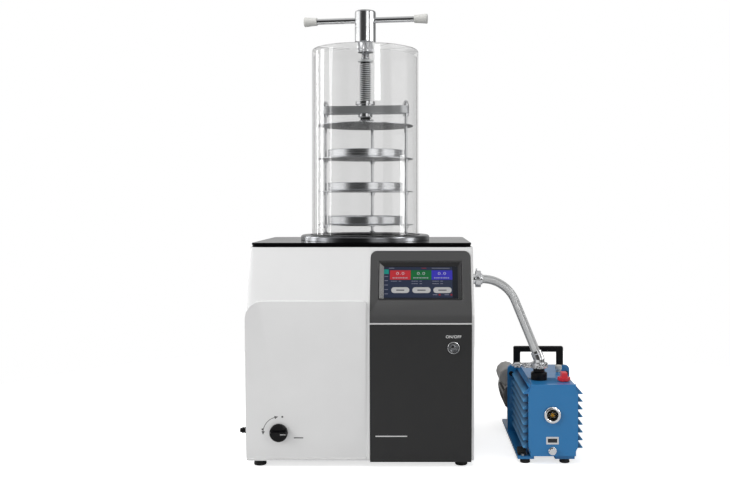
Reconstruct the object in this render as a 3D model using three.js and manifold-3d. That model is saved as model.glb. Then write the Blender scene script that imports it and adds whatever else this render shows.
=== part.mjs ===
// A bench freeze dryer: a cooled cabinet, a clear drying chamber with a stoppering
// rack, and the oil-sealed vacuum pump that a short hose joins to the cabinet.
// Millimetres, +Z up, the front towards -Y. The chamber's axis is X = 0, Y = 0
// until the last lines centre the whole machine over its origin.

import * as THREE from 'three';
import { mergeVertices } from 'three/addons/utils/BufferGeometryUtils.js';
import Module from 'manifold-3d';

const wasm = await Module();
wasm.setup();

// ---------------------------------------------------------------- driving sizes

const GAP = 0.3; // clearance left where two pieces touch

// Cabinet
const CABINET_WIDTH = 504;
const CABINET_BASE = 15; // height of the feet
const CABINET_TOP = 485;
const CABINET_BACK = 185;
const SHEET = 3;
const FRONT_FOOT = new THREE.Vector2(-222, 15); // bends of the front, as (y, z)
const FRONT_SHOULDER = new THREE.Vector2(-240, 337);
const FRONT_TOP = new THREE.Vector2(-180, 485);
const SHOULDER_RADIUS = 26;
const SIDE_EDGE = { across: 12, deep: 4 }; // soft rounding down both front edges
const FOOT = { radius: 14, x: 225, frontY: -195, backY: 160 };

// Front panels and controls
const FASCIA = { left: 22, right: 246, corner: 14, proud: 0.6, seat: 2.2 };
const CONTROL_FASCIA = { bottom: 322, top: 477 };
const LOWER_FASCIA = { bottom: 12, top: 318 };
const BELLY = { right: 17, bottom: 17, top: 370, proud: 2, thick: 24 }; // left of the front
const BELLY_CORNER = { left: 38, right: 11 };
const BELLY_EDGE = { across: 46, deep: 4 }; // its soft slope to the right and below
const SCREEN = { x: 133, z: 412.5, width: 184, height: 88, depth: 14, recess: 1.6 };
const BUTTON = { x: 206, z: 267, radius: 10.5, bezel: 13.5 };
const KNOB = { x: -179, z: 79, radius: 20, height: 16.8 };
const NOZZLE = { y: -190, z: 75, radius: 7, length: 19 };

// Cooling machinery
const FAN = { x: 110, z: 130, radius: 78, blades: 6 };
const INLET = { x: -150, z: 80, width: 47, height: 27 };
const TRAP = { radius: 93, wall: 2, bottom: 340, top: 495 };

// Chamber
const RING = { radius: 157, bottom: 495.3, top: 508 };
const BELL = { radius: 130, wall: 5, bottom: 509.3, top: 958, lid: 15 };
const PLATE_RADIUS = 117;
const SHELF_HEIGHTS = [532, 613, 693];
const TRAY = { radius: 91, height: 20, wall: 1.5 };
const ROD = { circle: 100, radius: 4 };
const CROSSBAR = { bottom: 804, top: 822, length: 216, depth: 40 };
const PRESS_PLATE = 774;
const SCREW = { radius: 14.5, bottom: 788.3, top: 935 };
const TEE = { bottom: 970.3, top: 1056, radius: 25.75, barZ: 1033, span: 307, turn: -8.5 };
const RACK_TURN = -7; // degrees about the chamber's axis

// Vacuum line
const PORT = { y: -90, z: 406, joint: 270, tail: 280 };
const FLANGE = { radius: 15, thick: 3.7, rim: 2, neck: 12.8, bore: 8 }; // half a joint
const CLAMP = { inner: 13.2, groove: 15.6, outer: 19.5, half: 6.2, grooveHalf: 4.2 };
const SEAM = 0.15; // half the clearance between two flanges
const HOSE = { radius: 10, bend: 80, straight: 0.5, sides: 8, steps: 12 };

// Vacuum pump, in its own frame about X = 430
const PUMP_X = 430;
const PUMP = { half: 55.5, bottom: 20, top: 180, front: -205, back: 38 };
const COVER = { thick: 7, cut: 5 }; // its sides step in at the corners
const FIN = { count: 8, pitch: 17.2, start: 37, deep: 11 };
const REAR_PLATE = { half: 77, front: 38, back: 50, corner: 10 };
const MOTOR = { x: -26, z: 98, radius: 60, front: 50.3, ribs: 13, rib: 5 };
const CAPACITOR = { x: -69, z: 143, radius: 25, front: 72, back: 170 }; // on the motor's side
const PUMP_INLET = { x: -24, y: -145, joint: 213, base: 18.5, neck: 13 };
const KNEE = { height: 14, sleeve: 18 }; // where the pump's sleeve leans over, and its length on
const PUMP_BASE = { left: -78, right: 50, front: -191, back: 166 }; // the case sits to its right
const PUMP_BASE_TOP = 16;
const BASE_NOTCH = { left: -41, right: 6, back: -120 };
const PUMP_FOOT = { left: -60, right: 29, frontY: -178, backY: 150, radius: 12, height: 10 };
const HANDLE = { half: 62, leg: 17, bar: 14, top: 227, thick: 12, corner: 4, inner: 2 };

// -------------------------------------------------------------- shared helpers

const ALONG_X = new THREE.Matrix4().makeBasis(
  new THREE.Vector3(0, 1, 0),
  new THREE.Vector3(0, 0, 1),
  new THREE.Vector3(1, 0, 0),
);
const TOWARDS_FRONT = new THREE.Matrix4().makeBasis(
  new THREE.Vector3(1, 0, 0),
  new THREE.Vector3(0, 0, 1),
  new THREE.Vector3(0, -1, 0),
);
const TOWARDS_BACK = new THREE.Matrix4().makeBasis(
  new THREE.Vector3(1, 0, 0),
  new THREE.Vector3(0, 0, -1),
  new THREE.Vector3(0, 1, 0),
);

// A polygon of [x, y, radius] corners, each rounded by a true arc of its radius.
// Where the first corner is sharp the second must be too, or the first is lost.
function filleted(corners) {
  const outline = new THREE.Shape();
  corners.forEach(([x, y, radius = 0], index) => {
    const corner = new THREE.Vector2(x, y);
    if (radius === 0) {
      if (index === 0) outline.moveTo(x, y);
      else outline.lineTo(x, y);
      return;
    }
    const before = corners[(index + corners.length - 1) % corners.length];
    const after = corners[(index + 1) % corners.length];
    const back = new THREE.Vector2(before[0], before[1]).sub(corner).normalize();
    const ahead = new THREE.Vector2(after[0], after[1]).sub(corner).normalize();
    const half = Math.acos(THREE.MathUtils.clamp(back.dot(ahead), -1, 1)) / 2;
    const middle = back.clone().add(ahead).normalize();
    const centre = corner.clone().addScaledVector(middle, radius / Math.sin(half));
    const reach = radius / Math.tan(half);
    const start = corner.clone().addScaledVector(back, reach).sub(centre);
    const end = corner.clone().addScaledVector(ahead, reach).sub(centre);
    const clockwise = back.cross(ahead) > 0;
    outline.absarc(centre.x, centre.y, radius, start.angle(), end.angle(), clockwise);
  });
  outline.closePath();
  return outline;
}

function rectangle(left, right, bottom, top, radius = 0) {
  return filleted([
    [left, bottom, radius],
    [right, bottom, radius],
    [right, top, radius],
    [left, top, radius],
  ]);
}

// An outline pulled along +Z from 0 to length, with an optional rounded or cut edge.
function pulled(outline, length, { across = 0, deep = 0, steps = 1, curve = 2 } = {}) {
  const geometry = new THREE.ExtrudeGeometry(outline, {
    depth: length - 2 * across,
    bevelEnabled: across > 0,
    bevelThickness: across,
    bevelSize: deep,
    bevelOffset: -deep,
    bevelSegments: steps,
    curveSegments: curve,
  });
  return geometry.translate(0, 0, across);
}

// A profile of [radius, height] points turned about +Z.
function turned(profile, segments = 16) {
  const points = profile.map(([radius, height]) => new THREE.Vector2(radius, height));
  if (points[0].x > 0) points.push(points[0].clone());
  if (THREE.ShapeUtils.area(points) < 0) points.reverse();
  return new THREE.LatheGeometry(points, segments).rotateX(Math.PI / 2);
}

function disc(radius, bottom, top, segments) {
  return turned([[0, bottom], [radius, bottom], [radius, top], [0, top]], segments);
}

function ring(outer, inner, bottom, top, segments) {
  return turned([[inner, bottom], [outer, bottom], [outer, top], [inner, top]], segments);
}

function block(left, right, front, back, bottom, top) {
  const geometry = new THREE.BoxGeometry(right - left, back - front, top - bottom);
  return geometry.translate((left + right) / 2, (front + back) / 2, (bottom + top) / 2);
}

function solidOf(geometry) {
  const bare = geometry.clone();
  bare.deleteAttribute('normal');
  bare.deleteAttribute('uv');
  const merged = mergeVertices(bare);
  const corners = [];
  const { array } = merged.index;
  for (let i = 0; i < array.length; i += 3) {
    const [a, b, c] = [array[i], array[i + 1], array[i + 2]];
    if (a !== b && b !== c && c !== a) corners.push(a, b, c);
  }
  return new wasm.Manifold(new wasm.Mesh({
    numProp: 3,
    vertProperties: new Float32Array(merged.attributes.position.array),
    triVerts: new Uint32Array(corners),
  }));
}

function geometryOf(solid) {
  const { vertProperties, triVerts } = solid.getMesh();
  const geometry = new THREE.BufferGeometry();
  geometry.setAttribute('position', new THREE.BufferAttribute(vertProperties, 3));
  geometry.setIndex(new THREE.BufferAttribute(triVerts, 1));
  geometry.computeVertexNormals();
  return geometry;
}

function joined(...pieces) {
  return geometryOf(pieces.map(solidOf).reduce((whole, piece) => whole.add(piece)));
}

function cut(base, ...tools) {
  return geometryOf(tools.map(solidOf).reduce((rest, tool) => rest.subtract(tool), solidOf(base)));
}

function common(first, second) {
  return geometryOf(solidOf(first).intersect(solidOf(second)));
}

function add(parent, name, geometry, [color, roughness, metalness], place = [0, 0, 0]) {
  const material = new THREE.MeshStandardMaterial({ color, roughness, metalness });
  const mesh = new THREE.Mesh(geometry, material);
  mesh.name = name;
  mesh.position.set(...place);
  parent.add(mesh);
  return mesh;
}

// Finishes as [colour, roughness, metalness].
const WHITE_PAINT = [0xe6e6e6, 0.42, 0];
const BLACK_GLOSS = [0x0a0a0a, 0.12, 0];
const DARK_PANEL = [0x3c3c3c, 0.45, 0];
const BLACK_PLASTIC = [0x0b0b0c, 0.4, 0];
const RUBBER = [0x161616, 0.8, 0];
const STAINLESS = [0xb9bcbe, 0.25, 1];
const POLISHED = [0xd4d6d8, 0.1, 1];
const COPPER = [0xb87350, 0.35, 1];
const CLEAR = [0xdfe5e6, 0.05, 0];
const CAP_PLASTIC = [0xcfcfcc, 0.45, 0];
const PUMP_BLUE = [0x3a76ad, 0.4, 0.1];
const MOTOR_GREY = [0x9d9b97, 0.5, 0.2];
const RED_PLASTIC = [0xe0303c, 0.4, 0];

// --------------------------------------------------------------- cabinet shape

// The bends of the front, moved outward by a distance and run on past both ends.
function frontLine(outward, run = 0) {
  const lower = FRONT_SHOULDER.clone().sub(FRONT_FOOT).normalize();
  const upper = FRONT_TOP.clone().sub(FRONT_SHOULDER).normalize();
  const lowerOut = new THREE.Vector2(-lower.y, lower.x);
  const upperOut = new THREE.Vector2(-upper.y, upper.x);
  const corner = lowerOut.clone().add(upperOut).divideScalar(1 + lowerOut.dot(upperOut));
  return [
    FRONT_FOOT.clone().addScaledVector(lowerOut, outward).addScaledVector(lower, -run),
    FRONT_SHOULDER.clone().addScaledVector(corner, outward),
    FRONT_TOP.clone().addScaledVector(upperOut, outward).addScaledVector(upper, run),
  ];
}

// The cabinet's full form, inset by a distance, between two heights and up to a back.
function cabinetForm(inset, bottom, top, back) {
  const run = 40;
  const [foot, shoulder, brow] = frontLine(-inset, run);
  const outline = filleted([
    [back + run, foot.y],
    [foot.x, foot.y],
    [shoulder.x, shoulder.y, SHOULDER_RADIUS - inset],
    [brow.x, brow.y],
    [back + run, brow.y],
  ]);
  const width = CABINET_WIDTH - 2 * inset;
  const form = pulled(outline, width, { ...SIDE_EDGE, steps: 2 });
  form.translate(0, 0, -width / 2).applyMatrix4(ALONG_X);
  return common(form, block(-width, width, -300, back, bottom, top));
}

// A layer that follows the front, from one depth to another, inside a flat outline.
function frontLayer(outline, outer, inner) {
  const run = 30;
  const [a, b, c] = frontLine(outer, run);
  const [d, e, f] = frontLine(inner, run);
  const strip = filleted([
    [d.x, d.y],
    [a.x, a.y],
    [b.x, b.y, SHOULDER_RADIUS + outer],
    [c.x, c.y],
    [f.x, f.y],
    [e.x, e.y, SHOULDER_RADIUS + inner],
  ]);
  const layer = pulled(strip, 2 * CABINET_WIDTH).translate(0, 0, -CABINET_WIDTH);
  const face = pulled(outline, 300).applyMatrix4(TOWARDS_FRONT);
  return common(layer.applyMatrix4(ALONG_X), face);
}

// A frame on the front: X across, Y up the face, Z straight out of it.
function onFront(x, z, low, high) {
  const up = high.clone().sub(low).normalize();
  const y = low.x + (z - low.y) * (high.x - low.x) / (high.y - low.y);
  const across = new THREE.Vector3(1, 0, 0);
  const along = new THREE.Vector3(0, up.x, up.y);
  const out = across.clone().cross(along);
  return new THREE.Matrix4().makeBasis(across, along, out).setPosition(x, y, z);
}

const screenFrame = onFront(SCREEN.x, SCREEN.z, FRONT_SHOULDER, FRONT_TOP);
const buttonFrame = onFront(BUTTON.x, BUTTON.z, FRONT_FOOT, FRONT_SHOULDER);
const knobFrame = onFront(KNOB.x, KNOB.z, FRONT_FOOT, FRONT_SHOULDER);

function fasciaOutline({ bottom, top }, roundTop, grow = 0) {
  const radius = roundTop ? FASCIA.corner : 0;
  return filleted([
    [FASCIA.left - grow, bottom - grow],
    [FASCIA.right + grow, bottom - grow],
    [FASCIA.right + grow, top + grow, radius],
    [FASCIA.left - grow, top + grow, radius],
  ]);
}

function screenWindow(grow) {
  const half = { x: SCREEN.width / 2 + grow, y: SCREEN.height / 2 + grow };
  const window = pulled(rectangle(-half.x, half.x, -half.y, half.y, 3), 40);
  return window.translate(0, 0, -30).applyMatrix4(screenFrame);
}

// Short louvre slots through both side walls, beside the condenser.
function sideSlots() {
  const slots = [];
  for (let row = 0; row < 4; row += 1) {
    const z = 80 + row * 32;
    slots.push(block(-CABINET_WIDTH, CABINET_WIDTH, 60, 140, z, z + 6));
  }
  return slots;
}

// The front's left part stands proud: crisp above and at the side, a soft slope elsewhere.
function belly() {
  const { right, bottom, top, proud, thick } = BELLY;
  const left = -CABINET_WIDTH / 2;
  const reach = 2 * BELLY_EDGE.across;
  const pillow = pulled(
    rectangle(left - reach, right + 1, bottom - 1, top + reach),
    2 * thick,
    { ...BELLY_EDGE, steps: 3 },
  ).translate(0, 0, proud - 2 * thick);
  const face = pulled(filleted([
    [left, bottom],
    [right, bottom],
    [right, top, BELLY_CORNER.right],
    [left, top, BELLY_CORNER.left],
  ]), thick).translate(0, 0, proud - thick);
  return common(pillow, face).applyMatrix4(onFront(0, 0, FRONT_FOOT, FRONT_SHOULDER));
}

function housing() {
  const hollow = cabinetForm(SHEET, CABINET_BASE - 5, CABINET_TOP - SHEET, CABINET_BACK + 5);
  return cut(
    joined(cabinetForm(0, CABINET_BASE, CABINET_TOP, CABINET_BACK), belly()),
    hollow,
    frontLayer(fasciaOutline(CONTROL_FASCIA, true, 0.4), 8, -FASCIA.seat),
    frontLayer(fasciaOutline(LOWER_FASCIA, false, 0.4), 8, -FASCIA.seat),
    screenWindow(0.8),
    disc(BUTTON.radius + 0.6, -12, 5, 16).applyMatrix4(buttonFrame),
    disc(4.5, -12, 5, 8).applyMatrix4(knobFrame),
    disc(13.6, CABINET_WIDTH / 2 - 9, CABINET_WIDTH / 2 + 5, 16)
      .applyMatrix4(ALONG_X).translate(0, PORT.y, PORT.z),
    disc(3.6, -CABINET_WIDTH / 2 - 5, -CABINET_WIDTH / 2 + 9, 8)
      .applyMatrix4(ALONG_X).translate(0, NOZZLE.y, NOZZLE.z),
    disc(TRAP.radius + 7, CABINET_TOP - 9, CABINET_TOP + 5, 28),
    ...sideSlots(),
  );
}

function controlFascia() {
  const panel = frontLayer(fasciaOutline(CONTROL_FASCIA, true), FASCIA.proud, -1.9);
  const half = { x: SCREEN.width / 2, y: SCREEN.height / 2 };
  const flare = pulled(
    rectangle(-half.x - 3, half.x + 3, -half.y - 3, half.y + 3),
    8,
    { across: 2, deep: 3 },
  );
  return cut(panel, screenWindow(0.4), flare.translate(0, 0, -1.2).applyMatrix4(screenFrame));
}

function lowerFascia() {
  const panel = frontLayer(fasciaOutline(LOWER_FASCIA, false), FASCIA.proud, -1.9);
  return cut(panel, disc(BUTTON.radius + 0.4, -12, 5, 16).applyMatrix4(buttonFrame));
}

function touchScreen() {
  const half = { x: SCREEN.width / 2, y: SCREEN.height / 2 };
  const module = pulled(rectangle(-half.x, half.x, -half.y, half.y, 2.5), SCREEN.depth);
  return module.translate(0, 0, -SCREEN.depth - SCREEN.recess);
}

function knob() {
  const body = turned([
    [0, -12], [4, -12], [4, 0], [KNOB.radius, 0],
    [KNOB.radius, 6], [KNOB.radius - 2, 8], [0, 8],
  ], 20);
  const grip = pulled(filleted([
    [-4, -KNOB.radius + 3],
    [4, -KNOB.radius + 3],
    [5.5, KNOB.radius - 5],
    [0, KNOB.radius - 1],
    [-5.5, KNOB.radius - 5],
  ]), KNOB.height - 7);
  return joined(body, grip.translate(0, 0, 7)).rotateZ(THREE.MathUtils.degToRad(-90));
}

function foot() {
  return turned([[0, 0], [FOOT.radius - 1.5, 0], [FOOT.radius, 2],
    [FOOT.radius - 2, CABINET_BASE - GAP], [0, CABINET_BASE - GAP]], 10);
}

function basePan() {
  const inner = CABINET_WIDTH / 2 - SHEET - 0.5;
  const front = FRONT_FOOT.x + SHEET + SIDE_EDGE.deep + 1;
  const plate = block(-inner, inner, front, CABINET_BACK - 3, CABINET_BASE, CABINET_BASE + 2);
  const beam = block(-inner, inner, -12, 12, CABINET_BASE + 1.5, CABINET_BASE + 8);
  return joined(plate, beam);
}

// The fan's round grille: upright slots whose ends lie on one circle.
function grilleSlots(front, back) {
  const slots = [];
  for (let column = -4; column <= 4; column += 1) {
    const x = column * 17;
    const half = Math.sqrt(80 * 80 - x * x);
    slots.push(block(FAN.x + x - 4.5, FAN.x + x + 4.5, front, back, FAN.z - half, FAN.z + half));
  }
  return slots;
}

function rearPanel() {
  const inner = CABINET_WIDTH / 2 - SHEET - 0.5;
  const [front, back] = [CABINET_BACK - 2.5, CABINET_BACK];
  const plate = block(-inner, inner, front, back, CABINET_BASE + 2.5, CABINET_TOP - SHEET - 0.5);
  const half = { x: INLET.width / 2 + 0.5, z: INLET.height / 2 + 0.5 };
  const inletHole = block(INLET.x - half.x, INLET.x + half.x, front - 5, back + 5,
    INLET.z - half.z, INLET.z + half.z);
  return cut(plate, inletHole, ...grilleSlots(front - 5, back + 5));
}

function powerInlet() {
  const half = { x: INLET.width / 2, z: INLET.height / 2 };
  const body = block(-half.x, half.x, -30, 3, -half.z, half.z);
  const flange = pulled(rectangle(-29, 29, -19, 19, 4), 3).applyMatrix4(TOWARDS_FRONT);
  const socket = pulled(rectangle(-13, 13, -9, 9, 3), 20).applyMatrix4(TOWARDS_FRONT);
  const blade = block(-1, 1, -15, -3, -3, 3);
  const shell = cut(joined(body, flange.translate(0, 3, 0)), socket.translate(0, 5, 0));
  const pins = [-7, 0, 7].map((x) => blade.clone().translate(x, 0, x === 0 ? 4 : -2));
  return joined(shell, ...pins);
}

// ----------------------------------------------------------- cooling machinery

function coldTrap() {
  const { radius, wall, bottom, top } = TRAP;
  return turned([
    [0, bottom], [radius - 8, bottom], [radius + wall, bottom + 10],
    [radius + wall, top - 4], [radius + 11, top - 4], [radius + 11, top],
    [radius, top], [radius, bottom + 11], [radius - 9, bottom + wall], [0, bottom + wall],
  ], 20);
}

function insulation() {
  const floor = TRAP.bottom - 22;
  return turned([
    [0, floor], [132, floor], [132, CABINET_TOP - SHEET - GAP],
    [108, CABINET_TOP - SHEET - GAP], [108, TRAP.bottom - GAP], [0, TRAP.bottom - GAP],
  ], 20);
}

class Helix extends THREE.Curve {
  constructor(radius, pitch, turns) {
    super();
    Object.assign(this, { radius, pitch, turns });
  }

  getPoint(t, target = new THREE.Vector3()) {
    const angle = 2 * Math.PI * this.turns * t;
    const height = this.pitch * this.turns * t;
    return target.set(this.radius * Math.cos(angle), this.radius * Math.sin(angle), height);
  }
}

// A closed section swept along a curve.
function swept(curve, radius, sides, steps) {
  const section = new THREE.Shape();
  for (let side = 0; side < sides; side += 1) {
    const angle = 2 * Math.PI * side / sides;
    const [x, y] = [radius * Math.cos(angle), radius * Math.sin(angle)];
    if (side === 0) section.moveTo(x, y);
    else section.lineTo(x, y);
  }
  section.closePath();
  return new THREE.ExtrudeGeometry(section, { steps, extrudePath: curve });
}

function evaporatorCoil() {
  const turns = 3;
  return swept(new Helix(101.5, 36, turns), 3.2, 4, turns * 12).translate(0, 0, TRAP.bottom + 16);
}

function compressor() {
  const base = pulled(rectangle(-70, 70, -55, 55), 4);
  const shell = turned([
    [0, 3], [50, 3], [64, 12], [66, 70], [70, 74], [66, 78],
    [64, 140], [52, 162], [20, 172], [0, 172],
  ], 12);
  return joined(base, shell);
}

function condenser() {
  const fins = [];
  const [half, pitch] = [100, 20];
  for (let x = -half; x < half; x += pitch) {
    fins.push([x + 0.1, 0], [x + 6, 0], [x + 6, 22], [x + pitch, 22]);
  }
  fins.push([half, 0], [half + 4, 0], [half + 4, 30], [-half, 30]);
  return pulled(filleted(fins), 200);
}

function fanShroud() {
  const plate = pulled(rectangle(-100, 100, -112, 88), 4).applyMatrix4(TOWARDS_FRONT);
  const collar = ring(FAN.radius + 9, FAN.radius + 5, -1, 30, 16).applyMatrix4(TOWARDS_BACK);
  const opening = disc(FAN.radius + 4, -10, 10, 16).applyMatrix4(TOWARDS_BACK);
  const strut = block(-FAN.radius - 7, FAN.radius + 7, -3, 1, -6, 6);
  const motor = disc(20, -3.5, 12, 10).applyMatrix4(TOWARDS_BACK);
  return joined(cut(plate, opening), collar, strut, motor);
}

function fanRotor() {
  const hub = disc(22, 0, 18, 12);
  const blades = [];
  for (let blade = 0; blade < FAN.blades; blade += 1) {
    const vane = pulled(filleted([
      [16, -10], [FAN.radius - 4, -20], [FAN.radius, 4], [FAN.radius - 8, 16], [16, 8],
    ]), 2.4);
    vane.translate(0, 0, -1.2).rotateX(THREE.MathUtils.degToRad(28)).translate(0, 0, 9);
    blades.push(vane.rotateZ(2 * Math.PI * blade / FAN.blades));
  }
  const rotor = common(joined(hub, ...blades), disc(FAN.radius, 0, 18, 16));
  return rotor.applyMatrix4(TOWARDS_BACK);
}

// --------------------------------------------------------------------- chamber

function topPlate() {
  const half = CABINET_WIDTH / 2 - 3;
  const plate = pulled(rectangle(-half, half, -180, 180, 14), 9.7, { across: 1.2, deep: 1.2 });
  return cut(plate.translate(0, 0, CABINET_TOP + GAP), disc(106, CABINET_TOP - 5, 500, 32));
}

function baseRing() {
  const { radius, bottom, top } = RING;
  return turned([
    [TRAP.radius, bottom], [radius, bottom], [radius, top - 4], [radius - 5, top],
    [134, top], [134, top - 4], [121, top - 4], [121, top], [TRAP.radius, top],
  ], 28);
}

function chamberBell() {
  const { radius, wall, bottom, top, lid } = BELL;
  return turned([
    [radius - wall, bottom], [radius, bottom], [radius, top - 3], [radius - 3, top],
    [9.4, top], [9.4, top - lid], [radius - wall, top - lid],
  ], 32);
}

function glandNut() {
  const lidTop = BELL.top + GAP;
  const body = joined(disc(21, lidTop, TEE.bottom - GAP, 6), disc(9, lidTop - 12, lidTop + 2, 14));
  return cut(body, disc(6.5, lidTop - 20, TEE.bottom + 5, 14));
}

function teeHub() {
  const { bottom, top, radius, barZ } = TEE;
  const body = turned([
    [6.4, bottom], [20, bottom], [20, bottom + 6], [radius, bottom + 13],
    [radius, top - 5], [radius - 5, top], [0, top], [0, 1004], [6.4, 1004],
  ], 22);
  const bore = disc(7.4, -radius - 5, radius + 5, 14).applyMatrix4(ALONG_X);
  return cut(body, bore.translate(0, 0, barZ));
}

function barCap(side) {
  const outer = TEE.span / 2;
  const cap = turned([
    [7.4, outer - 32], [9.5, outer - 32], [12, outer - 2], [11, outer],
    [0, outer], [0, outer - 6], [7.4, outer - 6],
  ], 14).applyMatrix4(ALONG_X);
  if (side < 0) cap.rotateZ(Math.PI);
  return cap.translate(0, 0, TEE.barZ);
}

// A round spindle above the lid's collar, a hexagon inside the press screw.
function driveShaft() {
  const round = turned([
    [0, 930], [6, 930], [6, 938], [10, 938], [10, 942.7], [6, 942.7], [6, 1003.7], [0, 1003.7],
  ], 12);
  return joined(round, disc(6.9, 858, 934, 6));
}

function pressScrew() {
  const { radius, bottom, top } = SCREW;
  const body = turned([
    [0, 778.6], [10, 778.6], [10, bottom], [radius, bottom], [radius, top - 4],
    [18.5, top - 4], [18.5, top], [0, top],
  ], 16);
  return cut(body, disc(7.5, 800, top + 5, 6));
}

function screwNut() {
  return turned([
    [SCREW.radius + 0.5, 796], [17.5, 796], [17.5, 822.3], [20, 822.3], [20, 826],
    [24, 826], [24, 834], [SCREW.radius + 0.5, 834],
  ], 16);
}

function crossbar() {
  const [half, side] = [CROSSBAR.length / 2, CROSSBAR.depth / 2];
  const outline = rectangle(-half, half, -side, side, side - 1);
  const bar = pulled(outline, CROSSBAR.top - CROSSBAR.bottom, { curve: 3 });
  return cut(
    bar.translate(0, 0, CROSSBAR.bottom),
    disc(18, 800, 830, 16),
    disc(ROD.radius + 0.4, 800, 830, 10).translate(ROD.circle, 0, 0),
    disc(ROD.radius + 0.4, 800, 830, 10).translate(-ROD.circle, 0, 0),
  );
}

// One rack rod: a foot on the ring, a collar under each shelf, and its upper end.
function rackRod(upperEnd) {
  const profile = [[0, RING.top + GAP], [7, RING.top + GAP], [7, 513], [ROD.radius, 513]];
  SHELF_HEIGHTS.forEach((height) => {
    const seat = height - 1 - GAP;
    profile.push([ROD.radius, seat - 7], [6.5, seat - 7], [6.5, seat], [ROD.radius, seat]);
  });
  return turned([...profile, ...upperEnd], 8);
}

function sideRod() {
  return rackRod([
    [ROD.radius, 797], [7, 797], [7, 803.7], [ROD.radius, 803.7], [ROD.radius, 822.3],
    [7.5, 822.3], [7.5, 828], [4.5, 835], [0, 836.5],
  ]);
}

function backRod() {
  return rackRod([[ROD.radius, 798], [2.5, 800], [0, 800]]);
}

const rodPlaces = [
  [ROD.circle, 0, 0],
  [-ROD.circle, 0, 0],
  [0, ROD.circle, 0],
];

function drilledPlate(height) {
  const holes = rodPlaces.map((place) => disc(ROD.radius + 0.5, -5, 5, 8).translate(...place));
  const plate = disc(PLATE_RADIUS, -1, 1, 32);
  return cut(plate, ...holes).translate(0, 0, height);
}

function thrustCup() {
  return turned([
    [0, 775.3], [16.5, 775.3], [16.5, 786], [14.5, 788], [10.4, 788], [10.4, 778.3], [0, 778.3],
  ], 16);
}

function tray() {
  const { radius, height, wall } = TRAY;
  return turned([
    [0, 0], [radius - 3, 0], [radius, 3], [radius, height], [radius - wall, height],
    [radius - wall, wall], [0, wall],
  ], 22);
}

// ----------------------------------------------------------------- vacuum line

// A hinged clamp about +Z: a grooved ring, its lug and bolt, and a wing nut at -X.
function clamp() {
  const { inner, groove, outer, half, grooveHalf } = CLAMP;
  const band = turned([
    [inner, -half], [outer, -half], [outer, half], [inner, half],
    [inner, grooveHalf], [groove, grooveHalf], [groove, -grooveHalf], [inner, -grooveHalf],
  ], 12);
  const lug = block(-36, 1 - outer, -7, 7, 1 - half, half - 1);
  const bolt = disc(3.2, 30, 62, 6).rotateY(-Math.PI / 2);
  const nut = turned([[0, 44], [7, 44], [6, 56], [0, 56]], 6).rotateY(-Math.PI / 2);
  const wing = pulled(filleted([[-3, 0], [3, 0], [6, 17], [-5, 17]]), 3);
  wing.translate(-50, 4, -1.5);
  const otherWing = wing.clone().rotateX(Math.PI);
  return joined(band, lug, bolt, nut, wing, otherWing);
}

// Half a vacuum joint about +Z: a flange at its start and a sleeve up to a height.
function tail(height) {
  const { radius, thick, rim, neck, bore } = FLANGE;
  return turned([
    [bore, SEAM], [radius, SEAM], [radius, rim], [neck, thick], [neck, height], [bore, height],
  ], 12);
}

// The pump's half joint: above its flange the sleeve leans over to meet the hose.
function leaningTail(lean) {
  const { neck, bore } = FLANGE;
  const knee = new THREE.Matrix4().makeTranslation(0, 0, KNEE.height).multiply(lean);
  const leaning = (radius, start, end) => disc(radius, start, end, 10).applyMatrix4(knee);
  const body = joined(tail(KNEE.height), leaning(neck, -1, KNEE.sleeve));
  return cut(body, disc(bore, -1, KNEE.height, 12), leaning(bore, -1, KNEE.sleeve + 1));
}

function vacuumPort() {
  const { radius, thick, rim, bore } = FLANGE;
  return turned([
    [bore, -21], [12, -21], [12, -17.7], [27, -17.7], [27, -15], [12, -15],
    [12, -thick], [radius, -rim], [radius, -SEAM], [bore, -SEAM],
  ], 16);
}

// Where the sleeve above the pump's joint starts to lean.
const pumpKnee = new THREE.Vector3(
  PUMP_X + PUMP_INLET.x,
  PUMP_INLET.y,
  PUMP_INLET.joint + KNEE.height,
);

// A round bend that leaves one straight run and joins the next at an equal distance
// from the corner between them.
class Bend extends THREE.Curve {
  constructor(start, corner, end) {
    super();
    Object.assign(this, { start, corner, end });
    const ahead = corner.clone().sub(start);
    this.weight = Math.cos(ahead.angleTo(end.clone().sub(corner)) / 2);
  }

  getPoint(t, target = new THREE.Vector3()) {
    const [first, middle, last] = [(1 - t) ** 2, 2 * t * (1 - t) * this.weight, t ** 2];
    target.copy(this.start).multiplyScalar(first);
    target.addScaledVector(this.corner, middle).addScaledVector(this.end, last);
    return target.divideScalar(first + middle + last);
  }
}

// The hose leaves the port level, bends once and runs straight down to the leaning sleeve.
// The corner between the two runs is found from the bend that the hose can take.
function hoseCorner() {
  const level = new THREE.Vector3(1, 0, 0);
  const leave = new THREE.Vector3(PORT.tail + GAP + HOSE.straight, PORT.y, PORT.z);
  const corner = leave.clone();
  let reach = HOSE.bend / 2;
  for (let pass = 0; pass < 30; pass += 1) {
    corner.copy(leave).addScaledVector(level, reach);
    reach = HOSE.bend * Math.tan(level.angleTo(pumpKnee.clone().sub(corner)) / 2);
  }
  return { leave, corner, reach };
}

function hoseCurve() {
  const { leave, corner, reach } = hoseCorner();
  const rise = corner.clone().sub(pumpKnee).normalize();
  const start = new THREE.Vector3(PORT.tail + GAP, PORT.y, PORT.z);
  const bendEnd = corner.clone().addScaledVector(rise, -reach);
  const end = pumpKnee.clone().addScaledVector(rise, KNEE.sleeve + GAP);
  const route = new THREE.CurvePath();
  route.add(new THREE.LineCurve3(start, leave));
  route.add(new Bend(leave, corner, bendEnd));
  route.add(new THREE.LineCurve3(bendEnd, end));
  return route;
}

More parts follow.
